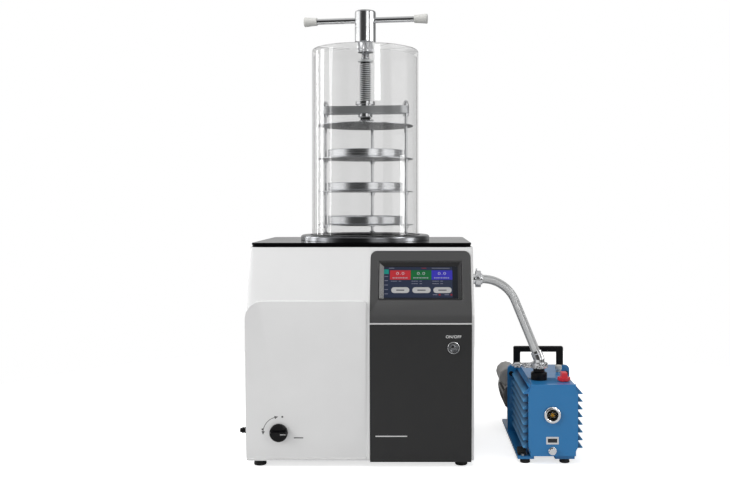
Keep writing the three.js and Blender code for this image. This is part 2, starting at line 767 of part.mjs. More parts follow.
// The turn that leans a fitting on the pump's joint from upright towards the hose.
function hoseLean() {
  const rise = hoseCorner().corner.sub(pumpKnee).normalize();
  const turn = new THREE.Quaternion().setFromUnitVectors(new THREE.Vector3(0, 0, 1), rise);
  return new THREE.Matrix4().makeRotationFromQuaternion(turn);
}

// ------------------------------------------------------------------------ pump

// The oil case's end view: cut corners above, saw-toothed cooling fins down each side.
function caseOutline() {
  const { half, bottom, top } = PUMP;
  const side = [[half - COVER.cut, bottom], [half - COVER.cut, bottom + 6], [half - 2, FIN.start - 3]];
  for (let fin = 0; fin < FIN.count; fin += 1) {
    const z = FIN.start + fin * FIN.pitch;
    side.push([half - 2, z], [half + FIN.deep, z]);
    side.push([half + FIN.deep, z + 2], [half - 2, z + 14]);
  }
  side.push([half - COVER.cut, top - 4], [half - COVER.cut - 4, top]);
  return mirroredOutline(side);
}

// The flat cover that closes the front of the oil case, narrower above and below.
function coverOutline() {
  const { half, bottom, top } = PUMP;
  const narrow = half - COVER.cut;
  return mirroredOutline([
    [narrow, bottom], [narrow, bottom + 12], [half, bottom + 20],
    [half, top - 18], [narrow, top - 10], [narrow, top],
  ]);
}

function mirroredOutline(side) {
  return filleted([...side, ...side.map(([x, z]) => [-x, z]).reverse()]);
}

function pumpFeet() {
  const { left, right, frontY, backY, radius, height } = PUMP_FOOT;
  const places = [[left, frontY], [right, frontY], [left, backY], [right, backY]];
  return places.map(([x, y]) => turned([
    [0, 0], [radius - 1, 0], [radius, 2], [radius - 2, height + 1], [0, height + 1],
  ], 10).translate(x, y, 0));
}

// The base plate, open in front between its two feet.
function pumpBase() {
  const { left, right, front, back } = PUMP_BASE;
  const plate = block(left, right, front, back, PUMP_FOOT.height, PUMP_BASE_TOP);
  return cut(plate, block(BASE_NOTCH.left, BASE_NOTCH.right, front - 5, BASE_NOTCH.back, 0, 20));
}

function pumpBody() {
  const { front, back, bottom, top } = PUMP;
  const along = (outline, from, to) => pulled(outline, to - from)
    .applyMatrix4(TOWARDS_FRONT).translate(0, to, 0);
  const oilCase = along(caseOutline(), front + COVER.thick - 1, back + 1);
  const cover = along(coverOutline(), front, front + COVER.thick);
  const { half, corner } = REAR_PLATE;
  const rearPlate = along(filleted([
    [-half, PUMP_BASE_TOP], [half, PUMP_BASE_TOP], [half, top, corner], [-half, top, corner],
  ]), REAR_PLATE.front, REAR_PLATE.back);
  const pedestal = block(-50, 50, BASE_NOTCH.back, back, PUMP_BASE_TOP - 1, bottom + 2);
  const saddleTop = MOTOR.z - MOTOR.radius - GAP;
  const saddle = block(MOTOR.x - 30, MOTOR.x + 30, 110, 150, PUMP_BASE_TOP - 1, saddleTop);
  return joined(oilCase, cover, rearPlate, pumpBase(), pedestal, saddle, ...pumpFeet());
}

// Cooling ribs run along the motor between its end flange and its fan cover. A round can
// on its side holds the starting capacitor.
function motor() {
  const { radius, rib, ribs, front } = MOTOR;
  const root = radius - rib;
  const outline = [];
  for (let number = 0; number < ribs; number += 1) {
    [[0, root], [0.5, root], [0.6, radius], [0.9, radius]].forEach(([part, reach]) => {
      const angle = 2 * Math.PI * (number + part) / ribs;
      outline.push([reach * Math.cos(angle), reach * Math.sin(angle)]);
    });
  }
  const frame = pulled(filleted(outline), 124).applyMatrix4(TOWARDS_BACK).translate(0, 58, 0);
  const flange = disc(radius - 1, 0, 10, 16).applyMatrix4(TOWARDS_BACK).translate(0, front, 0);
  const cover = turned([
    [0, 178], [radius - 1, 178], [radius - 1, 214], [radius - 12, 225], [0, 225],
  ], 20).applyMatrix4(TOWARDS_BACK);
  const can = CAPACITOR;
  const capacitor = turned([
    [0, can.front], [can.radius - 3, can.front], [can.radius, can.front + 3],
    [can.radius, can.back - 3], [can.radius - 3, can.back], [0, can.back],
  ], 12).applyMatrix4(TOWARDS_BACK).translate(can.x - MOTOR.x, 0, can.z - MOTOR.z);
  return joined(frame, flange, cover, capacitor);
}

function pumpHandle() {
  const { half, leg, bar, top, thick, corner, inner } = HANDLE;
  const bottom = PUMP.top + GAP;
  const loop = filleted([
    [-half, bottom], [-half + leg, bottom], [-half + leg, top - bar, inner],
    [half - leg, top - bar, inner], [half - leg, bottom], [half, bottom],
    [half, top, corner], [-half, top, corner],
  ]);
  const grip = pulled(loop, thick, { across: 1.5, deep: 1.5 });
  return grip.applyMatrix4(TOWARDS_FRONT).translate(0, REAR_PLATE.back, 0);
}

// The black inlet: a wide base and a narrower neck that the joint's flange ends.
function inletPort() {
  const { joint, base, neck } = PUMP_INLET;
  const { radius, thick, rim, bore } = FLANGE;
  const seat = PUMP.top + GAP;
  return turned([
    [bore, seat], [base, seat], [base, seat + 16], [neck, seat + 19], [neck, joint - 8],
    [12, joint - 8], [12, joint - thick], [radius, joint - rim], [radius, joint - SEAM],
    [bore, joint - SEAM],
  ], 12);
}

function sightGlass() {
  return turned([
    [0, 0], [18.5, 0], [18.5, 3.5], [16.5, 5], [13.5, 5], [12.7, 2.5], [0, 3.8],
  ], 18).applyMatrix4(TOWARDS_FRONT);
}

function drainPlug() {
  const hexagon = turned([[0, 2], [8, 2], [8, 8], [0, 8]], 6);
  return joined(disc(9, 0, 3, 14), hexagon).applyMatrix4(TOWARDS_FRONT);
}

// A low fluted cap with a grip bar across it.
function fillerCap() {
  const flutes = [];
  for (let flute = 0; flute < 10; flute += 1) {
    [[0, 14.5], [0.5, 14.5], [0.75, 13.2]].forEach(([part, radius]) => {
      const angle = 2 * Math.PI * (flute + part) / 10;
      flutes.push([radius * Math.cos(angle), radius * Math.sin(angle)]);
    });
  }
  const rim = pulled(filleted(flutes), 7).translate(0, 0, 2);
  return joined(disc(11, 0, 4, 12), rim, block(-6.5, 6.5, -12, 12, 8, 20));
}

function ballastValve() {
  return turned([[0, 0], [6, 0], [6, 5], [8, 6], [8, 14], [6.5, 16], [0, 16]], 14);
}

// ------------------------------------------------------------------ the machine

function buildCabinet() {
  const cabinet = new THREE.Group();
  add(cabinet, 'housing', housing(), WHITE_PAINT);
  add(cabinet, 'base_pan', basePan(), STAINLESS);
  add(cabinet, 'rear_panel', rearPanel(), WHITE_PAINT);
  add(cabinet, 'top_plate', topPlate(), BLACK_GLOSS);
  add(cabinet, 'control_fascia', controlFascia(), DARK_PANEL);
  add(cabinet, 'lower_fascia', lowerFascia(), DARK_PANEL);
  add(cabinet, 'touch_screen', touchScreen(), BLACK_GLOSS).applyMatrix4(screenFrame);
  const proud = FASCIA.proud + GAP;
  const bezel = ring(BUTTON.bezel, BUTTON.radius + 0.4, proud, proud + 2, 16);
  add(cabinet, 'button_bezel', bezel, POLISHED).applyMatrix4(buttonFrame);
  const button = turned([
    [0, -9], [BUTTON.radius, -9], [BUTTON.radius, 4], [0, 4],
  ], 16);
  add(cabinet, 'power_button', button, STAINLESS).applyMatrix4(buttonFrame);
  const knobSeat = knob().translate(0, 0, GAP + BELLY.proud);
  add(cabinet, 'vent_knob', knobSeat, BLACK_PLASTIC).applyMatrix4(knobFrame);
  const nozzle = turned([
    [1.8, -6], [3, -6], [3, GAP], [NOZZLE.radius, GAP], [NOZZLE.radius, 9], [4.5, 10],
    [5.2, 14], [4.2, NOZZLE.length], [1.8, NOZZLE.length],
  ], 12).applyMatrix4(ALONG_X).rotateZ(Math.PI);
  add(cabinet, 'vent_nozzle', nozzle, BLACK_PLASTIC, [-CABINET_WIDTH / 2, NOZZLE.y, NOZZLE.z]);
  const feet = [
    ['foot_front_left', -FOOT.x, FOOT.frontY],
    ['foot_front_right', FOOT.x, FOOT.frontY],
    ['foot_rear_left', -FOOT.x, FOOT.backY],
    ['foot_rear_right', FOOT.x, FOOT.backY],
  ];
  feet.forEach(([name, x, y]) => add(cabinet, name, foot(), RUBBER, [x, y, 0]));
  add(cabinet, 'power_inlet', powerInlet(), BLACK_PLASTIC,
    [INLET.x, CABINET_BACK + GAP, INLET.z]);
  return cabinet;
}

function buildCooling() {
  const cooling = new THREE.Group();
  const floor = CABINET_BASE + 2 + GAP;
  add(cooling, 'cold_trap', coldTrap(), STAINLESS, [0, 0, -GAP]);
  add(cooling, 'trap_insulation', insulation(), RUBBER, [0, 0, -GAP]);
  add(cooling, 'evaporator_coil', evaporatorCoil(), COPPER);
  add(cooling, 'compressor', compressor(), BLACK_PLASTIC, [-120, 80, floor]);
  add(cooling, 'condenser', condenser(), COPPER, [FAN.x, 88, floor]);
  add(cooling, 'fan_shroud', fanShroud(), STAINLESS, [FAN.x, 123, FAN.z]);
  add(cooling, 'fan_rotor', fanRotor(), BLACK_PLASTIC, [FAN.x, 135.5, FAN.z]);
  return cooling;
}

function buildRack() {
  const rack = new THREE.Group();
  rack.rotation.z = THREE.MathUtils.degToRad(RACK_TURN);
  add(rack, 'rod_right', sideRod(), STAINLESS, rodPlaces[0]);
  add(rack, 'rod_left', sideRod(), STAINLESS, rodPlaces[1]);
  add(rack, 'rod_back', backRod(), STAINLESS, rodPlaces[2]);
  SHELF_HEIGHTS.forEach((height, level) => {
    add(rack, `shelf_${level + 1}`, drilledPlate(height), STAINLESS);
    add(rack, `tray_${level + 1}`, tray(), STAINLESS, [0, 0, height + 1 + GAP]);
  });
  add(rack, 'crossbar', crossbar(), STAINLESS);
  add(rack, 'screw_nut', screwNut(), STAINLESS);
  add(rack, 'press_plate', drilledPlate(PRESS_PLATE), STAINLESS);
  add(rack, 'thrust_cup', thrustCup(), STAINLESS);
  add(rack, 'press_screw', pressScrew(), STAINLESS);
  return rack;
}

function buildChamber() {
  const chamber = new THREE.Group();
  add(chamber, 'base_ring', baseRing(), POLISHED);
  add(chamber, 'chamber_seal', ring(133.5, 121.5, RING.top - 3.7, RING.top + 1, 28), RUBBER);
  add(chamber, 'chamber_bell', chamberBell(), CLEAR);
  add(chamber, 'gland_nut', glandNut(), POLISHED);
  const tee = new THREE.Group();
  tee.rotation.z = THREE.MathUtils.degToRad(TEE.turn);
  const halfBar = TEE.span / 2 - 6.5;
  const bar = disc(7, -halfBar, halfBar, 20).applyMatrix4(ALONG_X);
  add(tee, 'tee_hub', teeHub(), POLISHED);
  add(tee, 'tee_bar', bar, POLISHED, [0, 0, TEE.barZ]);
  add(tee, 'bar_cap_left', barCap(-1), CAP_PLASTIC);
  add(tee, 'bar_cap_right', barCap(1), CAP_PLASTIC);
  const shaft = add(tee, 'drive_shaft', driveShaft(), POLISHED);
  shaft.rotation.z = THREE.MathUtils.degToRad(RACK_TURN - TEE.turn);
  chamber.add(tee, buildRack());
  return chamber;
}

function buildVacuumLine() {
  const line = new THREE.Group();
  const portPlace = [PORT.joint, PORT.y, PORT.z];
  add(line, 'vacuum_port', vacuumPort().applyMatrix4(ALONG_X), STAINLESS, portPlace);
  const portClamp = clamp().rotateZ(Math.PI).applyMatrix4(ALONG_X);
  add(line, 'port_clamp', portClamp, POLISHED, portPlace);
  const portTail = tail(PORT.tail - PORT.joint).applyMatrix4(ALONG_X);
  add(line, 'port_tail', portTail, STAINLESS, portPlace);
  const hose = swept(hoseCurve(), HOSE.radius, HOSE.sides, HOSE.steps);
  add(line, 'vacuum_hose', hose, CAP_PLASTIC);
  return line;
}

function buildPump() {
  const pump = new THREE.Group();
  pump.position.x = PUMP_X;
  add(pump, 'pump_body', pumpBody(), PUMP_BLUE);
  add(pump, 'pump_motor', motor(), MOTOR_GREY, [MOTOR.x, 0, MOTOR.z]);
  add(pump, 'pump_handle', pumpHandle(), BLACK_PLASTIC);
  const inletPlace = [PUMP_INLET.x, PUMP_INLET.y, 0];
  const jointPlace = [PUMP_INLET.x, PUMP_INLET.y, PUMP_INLET.joint];
  add(pump, 'pump_inlet', inletPort(), BLACK_PLASTIC, inletPlace);
  add(pump, 'inlet_clamp', clamp(), POLISHED, jointPlace);
  add(pump, 'inlet_tail', leaningTail(hoseLean()), STAINLESS, jointPlace);
  const face = PUMP.front - GAP;
  add(pump, 'sight_glass', sightGlass(), POLISHED, [-2, face, 112]);
  add(pump, 'drain_plug', drainPlug(), STAINLESS, [-2, face, 32]);
  add(pump, 'filler_cap', fillerCap(), RED_PLASTIC, [30, -165, PUMP.top + GAP]);
  add(pump, 'ballast_valve', ballastValve(), STAINLESS, [36, -50, PUMP.top + GAP]);
  return pump;
}

const machine = new THREE.Group();
machine.add(buildCabinet(), buildCooling(), buildChamber(), buildVacuumLine(), buildPump());
const bounds = new THREE.Box3().setFromObject(machine, true);
const centre = bounds.getCenter(new THREE.Vector3());
machine.position.set(-centre.x, -centre.y, -bounds.min.z);

const group = new THREE.Group();
group.add(machine);

export default group;
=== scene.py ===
# %% [markdown]
# # A bench freeze dryer, dressed
# A freeze dryer takes the water out of frozen material under vacuum. This one has a painted
# steel cabinet with a cold trap, a clear acrylic chamber with a rack of shelves that a tee
# handle presses together, and an oil-sealed vacuum pump on a short hose. The rigid model is
# already packed, so this lesson loads it as a frame, keeps its places and sizes, and builds
# the visible surfaces and their finishes around it.

import math

import bmesh
import bpy
from mathutils import Matrix, Vector


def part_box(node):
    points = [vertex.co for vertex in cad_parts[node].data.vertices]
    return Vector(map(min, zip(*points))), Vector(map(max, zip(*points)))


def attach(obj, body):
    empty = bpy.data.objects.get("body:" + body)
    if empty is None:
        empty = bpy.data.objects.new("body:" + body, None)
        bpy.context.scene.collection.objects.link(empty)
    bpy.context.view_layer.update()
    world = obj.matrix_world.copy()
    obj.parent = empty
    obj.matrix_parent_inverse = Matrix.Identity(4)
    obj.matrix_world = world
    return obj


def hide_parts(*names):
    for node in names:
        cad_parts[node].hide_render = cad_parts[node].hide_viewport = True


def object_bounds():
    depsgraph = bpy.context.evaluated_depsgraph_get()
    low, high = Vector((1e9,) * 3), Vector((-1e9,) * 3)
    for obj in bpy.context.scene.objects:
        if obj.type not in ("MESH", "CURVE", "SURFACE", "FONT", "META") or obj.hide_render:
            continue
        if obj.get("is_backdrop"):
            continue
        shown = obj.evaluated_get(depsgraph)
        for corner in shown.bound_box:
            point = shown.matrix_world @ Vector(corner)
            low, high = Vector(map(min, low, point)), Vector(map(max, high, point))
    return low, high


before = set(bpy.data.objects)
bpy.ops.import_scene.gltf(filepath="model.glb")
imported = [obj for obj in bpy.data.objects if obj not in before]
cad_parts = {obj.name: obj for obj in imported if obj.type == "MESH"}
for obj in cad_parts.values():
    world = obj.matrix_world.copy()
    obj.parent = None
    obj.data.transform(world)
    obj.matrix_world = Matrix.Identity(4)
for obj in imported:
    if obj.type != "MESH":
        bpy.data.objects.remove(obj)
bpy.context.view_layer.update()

# %% [markdown]
# ## Where things are
# All sizes are in millimetres from one point: the chamber's axis at floor level. The chamber's
# ring is centred there, so its box gives the point, and one helper turns a place in
# millimetres into metres in the frame. Two more give a solid's corners and its middle, and the
# pump's handle shows how far to the right the pump stands.

# %% The chamber's axis and the pump's middle
MM = 0.001
ring_low, ring_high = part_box("base_ring")
chamber = Vector(((ring_low.x + ring_high.x) / 2, (ring_low.y + ring_high.y) / 2, 0))


def at(x, y, z):
    """A place in millimetres from the chamber's axis, in metres in the frame."""
    return chamber + Vector((x, y, z)) * MM


def span(node):
    """A solid's lowest and highest corners in millimetres from the chamber's axis."""
    return [Vector([round(c, 1) for c in (corner - chamber) / MM]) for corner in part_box(node)]


def middle(node):
    """The middle of a solid's box in millimetres from the chamber's axis."""
    low, high = span(node)
    return (low + high) / 2


PUMP_X = round(middle("pump_handle").x, 1)
print("chamber axis:", [round(c, 4) for c in chamber], "pump at", PUMP_X, "mm")

# %% [markdown]
# ## The camera
# The dryer is seen square from the front, from a little above its worktop. The lens is shifted
# down and to the side instead of tilting the camera, so upright edges stay upright, as in a
# machine maker's catalogue.

# %% Camera
view = bpy.data.cameras.new("catalogue_camera")
view.lens = 45
view.sensor_width = 36
view.shift_x = -0.0658
view.shift_y = -0.0555
camera = bpy.data.objects.new("catalogue_camera", view)
camera.location = at(117, -2240, 585)
camera.rotation_euler = (math.radians(90), 0, 0)
bpy.context.scene.collection.objects.link(camera)
bpy.context.scene.camera = camera
print("angle of view in degrees:", round(math.degrees(view.angle), 1))

# %% [markdown]
# ## Finishes
# Every finish starts as one Principled shader. Colours are written as the usual hex codes and
# turned to the linear values that the shader wants.

# %% A plain finish
def linear(code):
    """A hex colour such as 'E4E4E4' as linear red, green, blue and alpha."""
    shares = [int(code[i:i + 2], 16) / 255 for i in (0, 2, 4)]
    return [s / 12.92 if s <= 0.04045 else ((s + 0.055) / 1.055) ** 2.4 for s in shares] + [1.0]


def finish(name, colour, roughness, metallic=0.0, **sockets):
    """A new material with a plain Principled shader."""
    made = bpy.data.materials.new(name)
    made.use_nodes = True
    shader = made.node_tree.nodes["Principled BSDF"]
    shader.inputs["Base Color"].default_value = linear(colour)
    shader.inputs["Roughness"].default_value = roughness
    shader.inputs["Metallic"].default_value = metallic
    for socket, value in sockets.items():
        shader.inputs[socket.replace("_", " ")].default_value = value
    return made


# %% [markdown]
# Nodes give a finish its pattern. One small function adds any node, sets it and links it, so
# that the recipes below stay short.

# %% Node helper
def add_node(tree, kind, inputs=None, **settings):
    """Adds a shader node, sets it, and sets or links its inputs."""
    made = tree.nodes.new("ShaderNode" + kind)
    for name, value in settings.items():
        setattr(made, name, value)
    for name, value in (inputs or {}).items():
        if isinstance(value, bpy.types.NodeSocket):
            tree.links.new(value, made.inputs[name])
        else:
            made.inputs[name].default_value = value
    return made


# %% [markdown]
# ### Grain and brushing
# Paint, moulded plastic and cast metal have a fine grain: low lumps that break up a highlight,
# and a slight drift in colour. Worked metal has lines instead. On a turned or spun piece they
# run round the axis, so the pattern reads the distance from the axis and the height; on a flat
# or drawn piece the noise is stretched along one direction. The real grain is finer than a
# view of a whole machine can show, so each size below is a few times the real one.

# %% Uneven surfaces
def uneven(made, lift, vary, depth, strength, rough):
    """One noise lifts a finish's surface by a depth in mm, another varies its roughness."""
    tree = made.node_tree
    shader = tree.nodes["Principled BSDF"]
    rise = add_node(tree, "Bump", {
        "Height": lift, "Strength": strength, "Distance": depth * MM})
    spread = add_node(tree, "MapRange", {
        "Value": vary, "From Min": 0.3, "From Max": 0.7,
        "To Min": rough[0], "To Max": rough[1]})
    tree.links.new(rise.outputs["Normal"], shader.inputs["Normal"])
    tree.links.new(spread.outputs["Result"], shader.inputs["Roughness"])
    return made


# %% Grain for paint, plastic and castings
def grain(made, size, height, rough, tint):
    """Lumps of a size and height in mm, a range of roughness, and a drift towards a tint."""
    tree = made.node_tree
    colour = tree.nodes["Principled BSDF"].inputs["Base Color"]
    place = add_node(tree, "TexCoord").outputs["Object"]
    lumps = add_node(tree, "TexNoise", {
        "Vector": place, "Scale": 1 / (size * MM), "Detail": 2.0}).outputs["Fac"]
    drift = add_node(tree, "TexNoise", {
        "Vector": place, "Scale": 1 / (14 * size * MM), "Detail": 3.0}).outputs["Fac"]
    mixed = add_node(tree, "Mix", {
        "Factor": drift, 6: list(colour.default_value), 7: linear(tint)}, data_type="RGBA")
    tree.links.new(mixed.outputs[2], colour)
    return uneven(made, lumps, drift, height, 0.6, rough)


# %% Lines for turned and brushed metal
def brushing(made, spacing, rough, along=None, centre=(0, 0, 0)):
    """Lines a spacing in mm apart: round an upright axis, or stretched by an (x, y, z) scale."""
    tree = made.node_tree
    place = add_node(tree, "TexCoord").outputs["Object"]
    centred = add_node(tree, "Mapping", {"Vector": place, "Location": [-c for c in centre]})
    if along is None:
        split = add_node(tree, "SeparateXYZ", {"Vector": centred.outputs["Vector"]})
        flat = add_node(tree, "CombineXYZ", {"X": split.outputs["X"], "Y": split.outputs["Y"]})
        reach = add_node(tree, "VectorMath", {0: flat.outputs["Vector"]}, operation="LENGTH")
        lines = add_node(tree, "CombineXYZ", {
            "X": reach.outputs["Value"], "Z": split.outputs["Z"]})
    else:
        lines = add_node(tree, "Mapping", {"Vector": centred.outputs["Vector"], "Scale": along})
    strokes = add_node(tree, "TexNoise", {
        "Vector": lines.outputs["Vector"], "Scale": 1 / (spacing * MM),
        "Detail": 3.0}).outputs["Fac"]
    return uneven(made, strokes, strokes, 0.02, 0.25, rough)


# %% [markdown]
# ### The cabinet's finishes
# The housing is sheet steel in a satin powder coat, whose melted grains leave an orange-peel
# surface. The worktop is black glass-like enamel and mirrors what stands behind it. The
# front panels are moulded ABS in dark grey, the knob and the inlet are black nylon, and the
# feet are nitrile rubber.

# %% Cabinet finishes
powder_coat = grain(finish("powder_coat_white", "E6E6E6", 0.4, Coat_Weight=0.1),
                    5, 0.03, (0.34, 0.44), "E0E0E0")
black_enamel = grain(finish("gloss_enamel_black", "060606", 0.1, Specular_IOR_Level=0.04),
                     9, 0.01, (0.07, 0.12), "0D0D0E")
smoked_abs = grain(finish("moulded_abs_dark_grey", "4A4A4A", 0.42, Specular_IOR_Level=0.3),
                   3, 0.03, (0.38, 0.48), "474748")
dark_abs = grain(finish("moulded_abs_charcoal", "343434", 0.45, Specular_IOR_Level=0.15),
                 3, 0.03, (0.4, 0.5), "323233")
black_nylon = grain(finish("moulded_nylon_black", "070708", 0.38, Specular_IOR_Level=0.2),
                    2, 0.04, (0.3, 0.45), "0C0C0D")
nitrile = grain(finish("nitrile_rubber_black", "171717", 0.8), 2, 0.05, (0.7, 0.85), "1E1E1E")
print_white = grain(finish("screen_print_white", "DADADA", 0.5), 2, 0.01, (0.45, 0.55), "D2D2D2")
print_bright = grain(finish("screen_print_bright", "F4F4F4", 0.5), 2, 0.01, (0.45, 0.55), "EEEEEE")
print_grey = grain(finish("screen_print_grey", "565656", 0.5), 2, 0.01, (0.45, 0.55), "5E5E5E")

# %% [markdown]
# ### Metals
# Stainless steel shows up in several ways here: spun trays and shelves with lines round the
# axis, brushed sheet, and polished fittings that mirror the room. The base ring is darker and
# duller, the clamps are polished castings with soft ripples, and the crossbar is ground plate.
# A metal's colour is its reflection's colour, and its roughness says how far that blurs.

# %% Metal finishes
spun_steel = brushing(finish("stainless_steel_spun", "EAEBED", 0.2, 1.0), 1.2, (0.12, 0.3),
                      centre=chamber)
satin_steel = brushing(finish("stainless_steel_brushed", "B4B6B8", 0.3, 1.0), 2.4, (0.24, 0.4),
                       along=(1, 0.05, 1))
mirror_steel = grain(finish("stainless_steel_polished", "E4E5E6", 0.06, 1.0),
                     9, 0.01, (0.04, 0.09), "DEDFE1")
ring_steel = grain(finish("stainless_steel_dull_ring", "77787A", 0.2, 1.0), 9, 0.01, (0.16, 0.24),
                   "6C6D70")
cast_steel = grain(finish("stainless_steel_cast_polished", "DCDDDF", 0.08, 1.0), 7, 1.2,
                   (0.06, 0.14), "C8C9CC")
fine_steel = brushing(finish("stainless_steel_fine_turned", "D2D3D4", 0.15, 1.0), 0.9, (0.1, 0.22),
                      along=(1, 1, 1))
dark_steel = brushing(finish("steel_plate_ground", "CFD0D2", 0.42, 1.0), 1.6, (0.36, 0.48),
                      along=(0.05, 1, 1))
zinc_plate = grain(finish("zinc_plated_steel", "A9ABAD", 0.35, 1.0), 6, 0.02, (0.28, 0.42),
                   "9C9EA2")
copper = brushing(finish("drawn_copper", "B87350", 0.3, 1.0), 2, (0.22, 0.4), along=(1, 1, 0.1))
brass = grain(finish("turned_brass", "8C6A24", 0.25, 1.0), 3, 0.01, (0.2, 0.3), "7C5C1E")

# %% [markdown]
# ### Clear acrylic
# The chamber is a cast acrylic tube and lid, five and fifteen millimetres thick. Acrylic really
# has an index of refraction of 1.49. It is drawn close to 1 here, so that the rack stands
# unbent and the rims stay as pale as the middle, and a clear coat carries the streaks that the
# full index would mirror. A ray that carries light to the rack is let straight through, because
# a path tracer would otherwise find almost no lamp behind two curved walls.

# %% Clear finishes
def let_light_through(made):
    """Rays towards a lamp pass straight through a clear finish."""
    tree = made.node_tree
    rays = add_node(tree, "LightPath")
    open_way = add_node(tree, "BsdfTransparent", {"Color": linear("E4E6E6")})
    both = add_node(tree, "MixShader", {
        0: rays.outputs["Is Shadow Ray"], 1: tree.nodes["Principled BSDF"].outputs["BSDF"],
        2: open_way.outputs["BSDF"]})
    tree.links.new(both.outputs["Shader"], tree.nodes["Material Output"].inputs["Surface"])
    return made


acrylic = let_light_through(grain(
    finish("cast_acrylic_polished", "ECECEC", 0.02, IOR=1.012, Transmission_Weight=1.0,
           Coat_Weight=1.0, Coat_Roughness=0.01),
    60, 0.002, (0.0, 0.005), "EAEAEA"))
acrylic_inside = let_light_through(grain(
    finish("cast_acrylic_inside", "ECECEC", 0.02, IOR=1.012, Transmission_Weight=1.0),
    60, 0.002, (0.0, 0.005), "EAEAEA"))
lens_glass = let_light_through(grain(
    finish("borosilicate_glass", "F4F2EA", 0.02, IOR=1.1, Transmission_Weight=1.0),
    20, 0.002, (0.0, 0.02), "F0EEE6"))

# %% [markdown]
# ### The pump's finishes and the hose
# The pump is cast aluminium in a blue enamel, thick enough to round the casting's edges, and
# its motor is grey. The hose is soft PVC, milky and half clear, with a spiral winding just
# under its skin that keeps it from collapsing under vacuum. Its lengthwise greys stand for the
# light and shade that a half clear wall gathers along a tube. The handle's end caps are pale
# moulded plastic.

# %% Pump and hose finishes
blue_enamel = grain(finish("enamel_blue_on_casting", "2076B2", 0.45, Specular_IOR_Level=0.2,
                           Coat_Weight=0.7), 4, 0.04, (0.4, 0.5), "2A7AB4")
grey_enamel = grain(finish("enamel_grey_on_casting", "A8A6A3", 0.45), 4, 0.06, (0.4, 0.52),
                    "9E9C99")
red_plastic = grain(finish("moulded_plastic_red", "E2323F", 0.35), 3, 0.02, (0.3, 0.4), "D62E3A")
pale_plastic = grain(finish("moulded_plastic_pale", "CFCFCC", 0.45), 3, 0.02, (0.4, 0.5),
                     "C8C8C4")
milky_pvc = finish("reinforced_pvc_milky", "DADBDB", 0.24, Coat_Weight=0.5)
STREAKS = [(0, "DCDDDD"), (0.07, "8E8F90"), (0.12, "D8D9D9"), (0.26, "C6C7C7"), (0.33, "9A9B9C"),
           (0.38, "D6D7D7"), (0.5, "E0E1E1"), (0.57, "86878A"), (0.62, "D2D3D3"), (0.76, "C8C9C9"),
           (0.83, "929394"), (0.88, "D8D9D9"), (1, "DCDDDD")]
tree = milky_pvc.node_tree
unrolled = add_node(tree, "TexCoord").outputs["UV"]
around = add_node(tree, "SeparateXYZ", {"Vector": unrolled}).outputs["Y"]
drawn = add_node(tree, "ValToRGB", {"Fac": around})
marks = drawn.color_ramp.elements
marks.remove(marks[1])
for number, (share, code) in enumerate(STREAKS):
    mark = marks[0] if number == 0 else marks.new(share)
    mark.position, mark.color = share, linear(code)
tree.links.new(drawn.outputs["Color"], tree.nodes["Principled BSDF"].inputs["Base Color"])
wound_thread = grain(finish("winding_under_pvc", "C6C7C7", 0.5), 2, 0.01, (0.4, 0.6), "BDBEBE")
print("finishes:", len(bpy.data.materials))

# %% [markdown]
# ## Making a piece
# A piece is drawn as a bmesh in millimetres with Blender's own operators, then placed in the
# frame and made an object. It rides on one of the frame's bodies and may stand for a solid of
# the frame. A Bevel modifier rounds its sharp edges, because no real edge is perfectly sharp,
# and that thin round is what catches the light.

# %% The piece maker
TURN = {
    "up": Matrix.Identity(4),
    "right": Matrix(((0, 0, 1, 0), (1, 0, 0, 0), (0, 1, 0, 0), (0, 0, 0, 1))),
    "front": Matrix(((1, 0, 0, 0), (0, 0, -1, 0), (0, 1, 0, 0), (0, 0, 0, 1))),
}
SHARP = math.radians(35)


def piece(name, bm, made_of, body="machine", stands_for=None, edge=0.0,
          place=None, rounds=2):
    """Turns a bmesh in millimetres into an object of the machine."""
    where = place if place is not None else Matrix.Translation(chamber) @ Matrix.Scale(MM, 4)
    bmesh.ops.transform(bm, matrix=where, verts=bm.verts)
    mesh = bpy.data.meshes.new(name)
    bm.to_mesh(mesh)
    bm.free()
    for material in made_of if isinstance(made_of, list) else [made_of]:
        mesh.materials.append(material)
    mesh.shade_smooth()
    mesh.set_sharp_from_angle(angle=SHARP)
    made = bpy.data.objects.new(name, mesh)
    bpy.context.scene.collection.objects.link(made)
    if edge:
        bevel = made.modifiers.new("edges", "BEVEL")
        bevel.width = edge * MM
        bevel.segments = rounds
        bevel.limit_method = "ANGLE"
        bevel.angle_limit = SHARP
        bevel.harden_normals = True
    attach(made, body)
    if stands_for:
        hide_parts(*([stands_for] if isinstance(stands_for, str) else stands_for))
    print(f"{name}: {len(mesh.polygons)} faces, rides on {body}")
    return made


# %% [markdown]
# Three ways to start a shape cover most of a machine. A turned piece is a half profile spun
# round an axis, as on a lathe. A plate is a flat outline pulled to a thickness, with its
# corners rounded by a vertex bevel. A block is a stretched cube. Several shapes can be put in
# one bmesh, as separate shells of one piece.

# %% Turned shapes
LONG, HOLD = 5.0, 0.25


def held(profile):
    """The profile with a point close to both ends of each long line, to shade the line flat."""
    line = [Vector(point) for point in profile]
    full = [line[0]]
    for first, second in zip(line, line[1:]):
        length = (second - first).length
        if length > LONG:
            full += [first.lerp(second, HOLD / length), second.lerp(first, HOLD / length)]
        full.append(second)
    return full


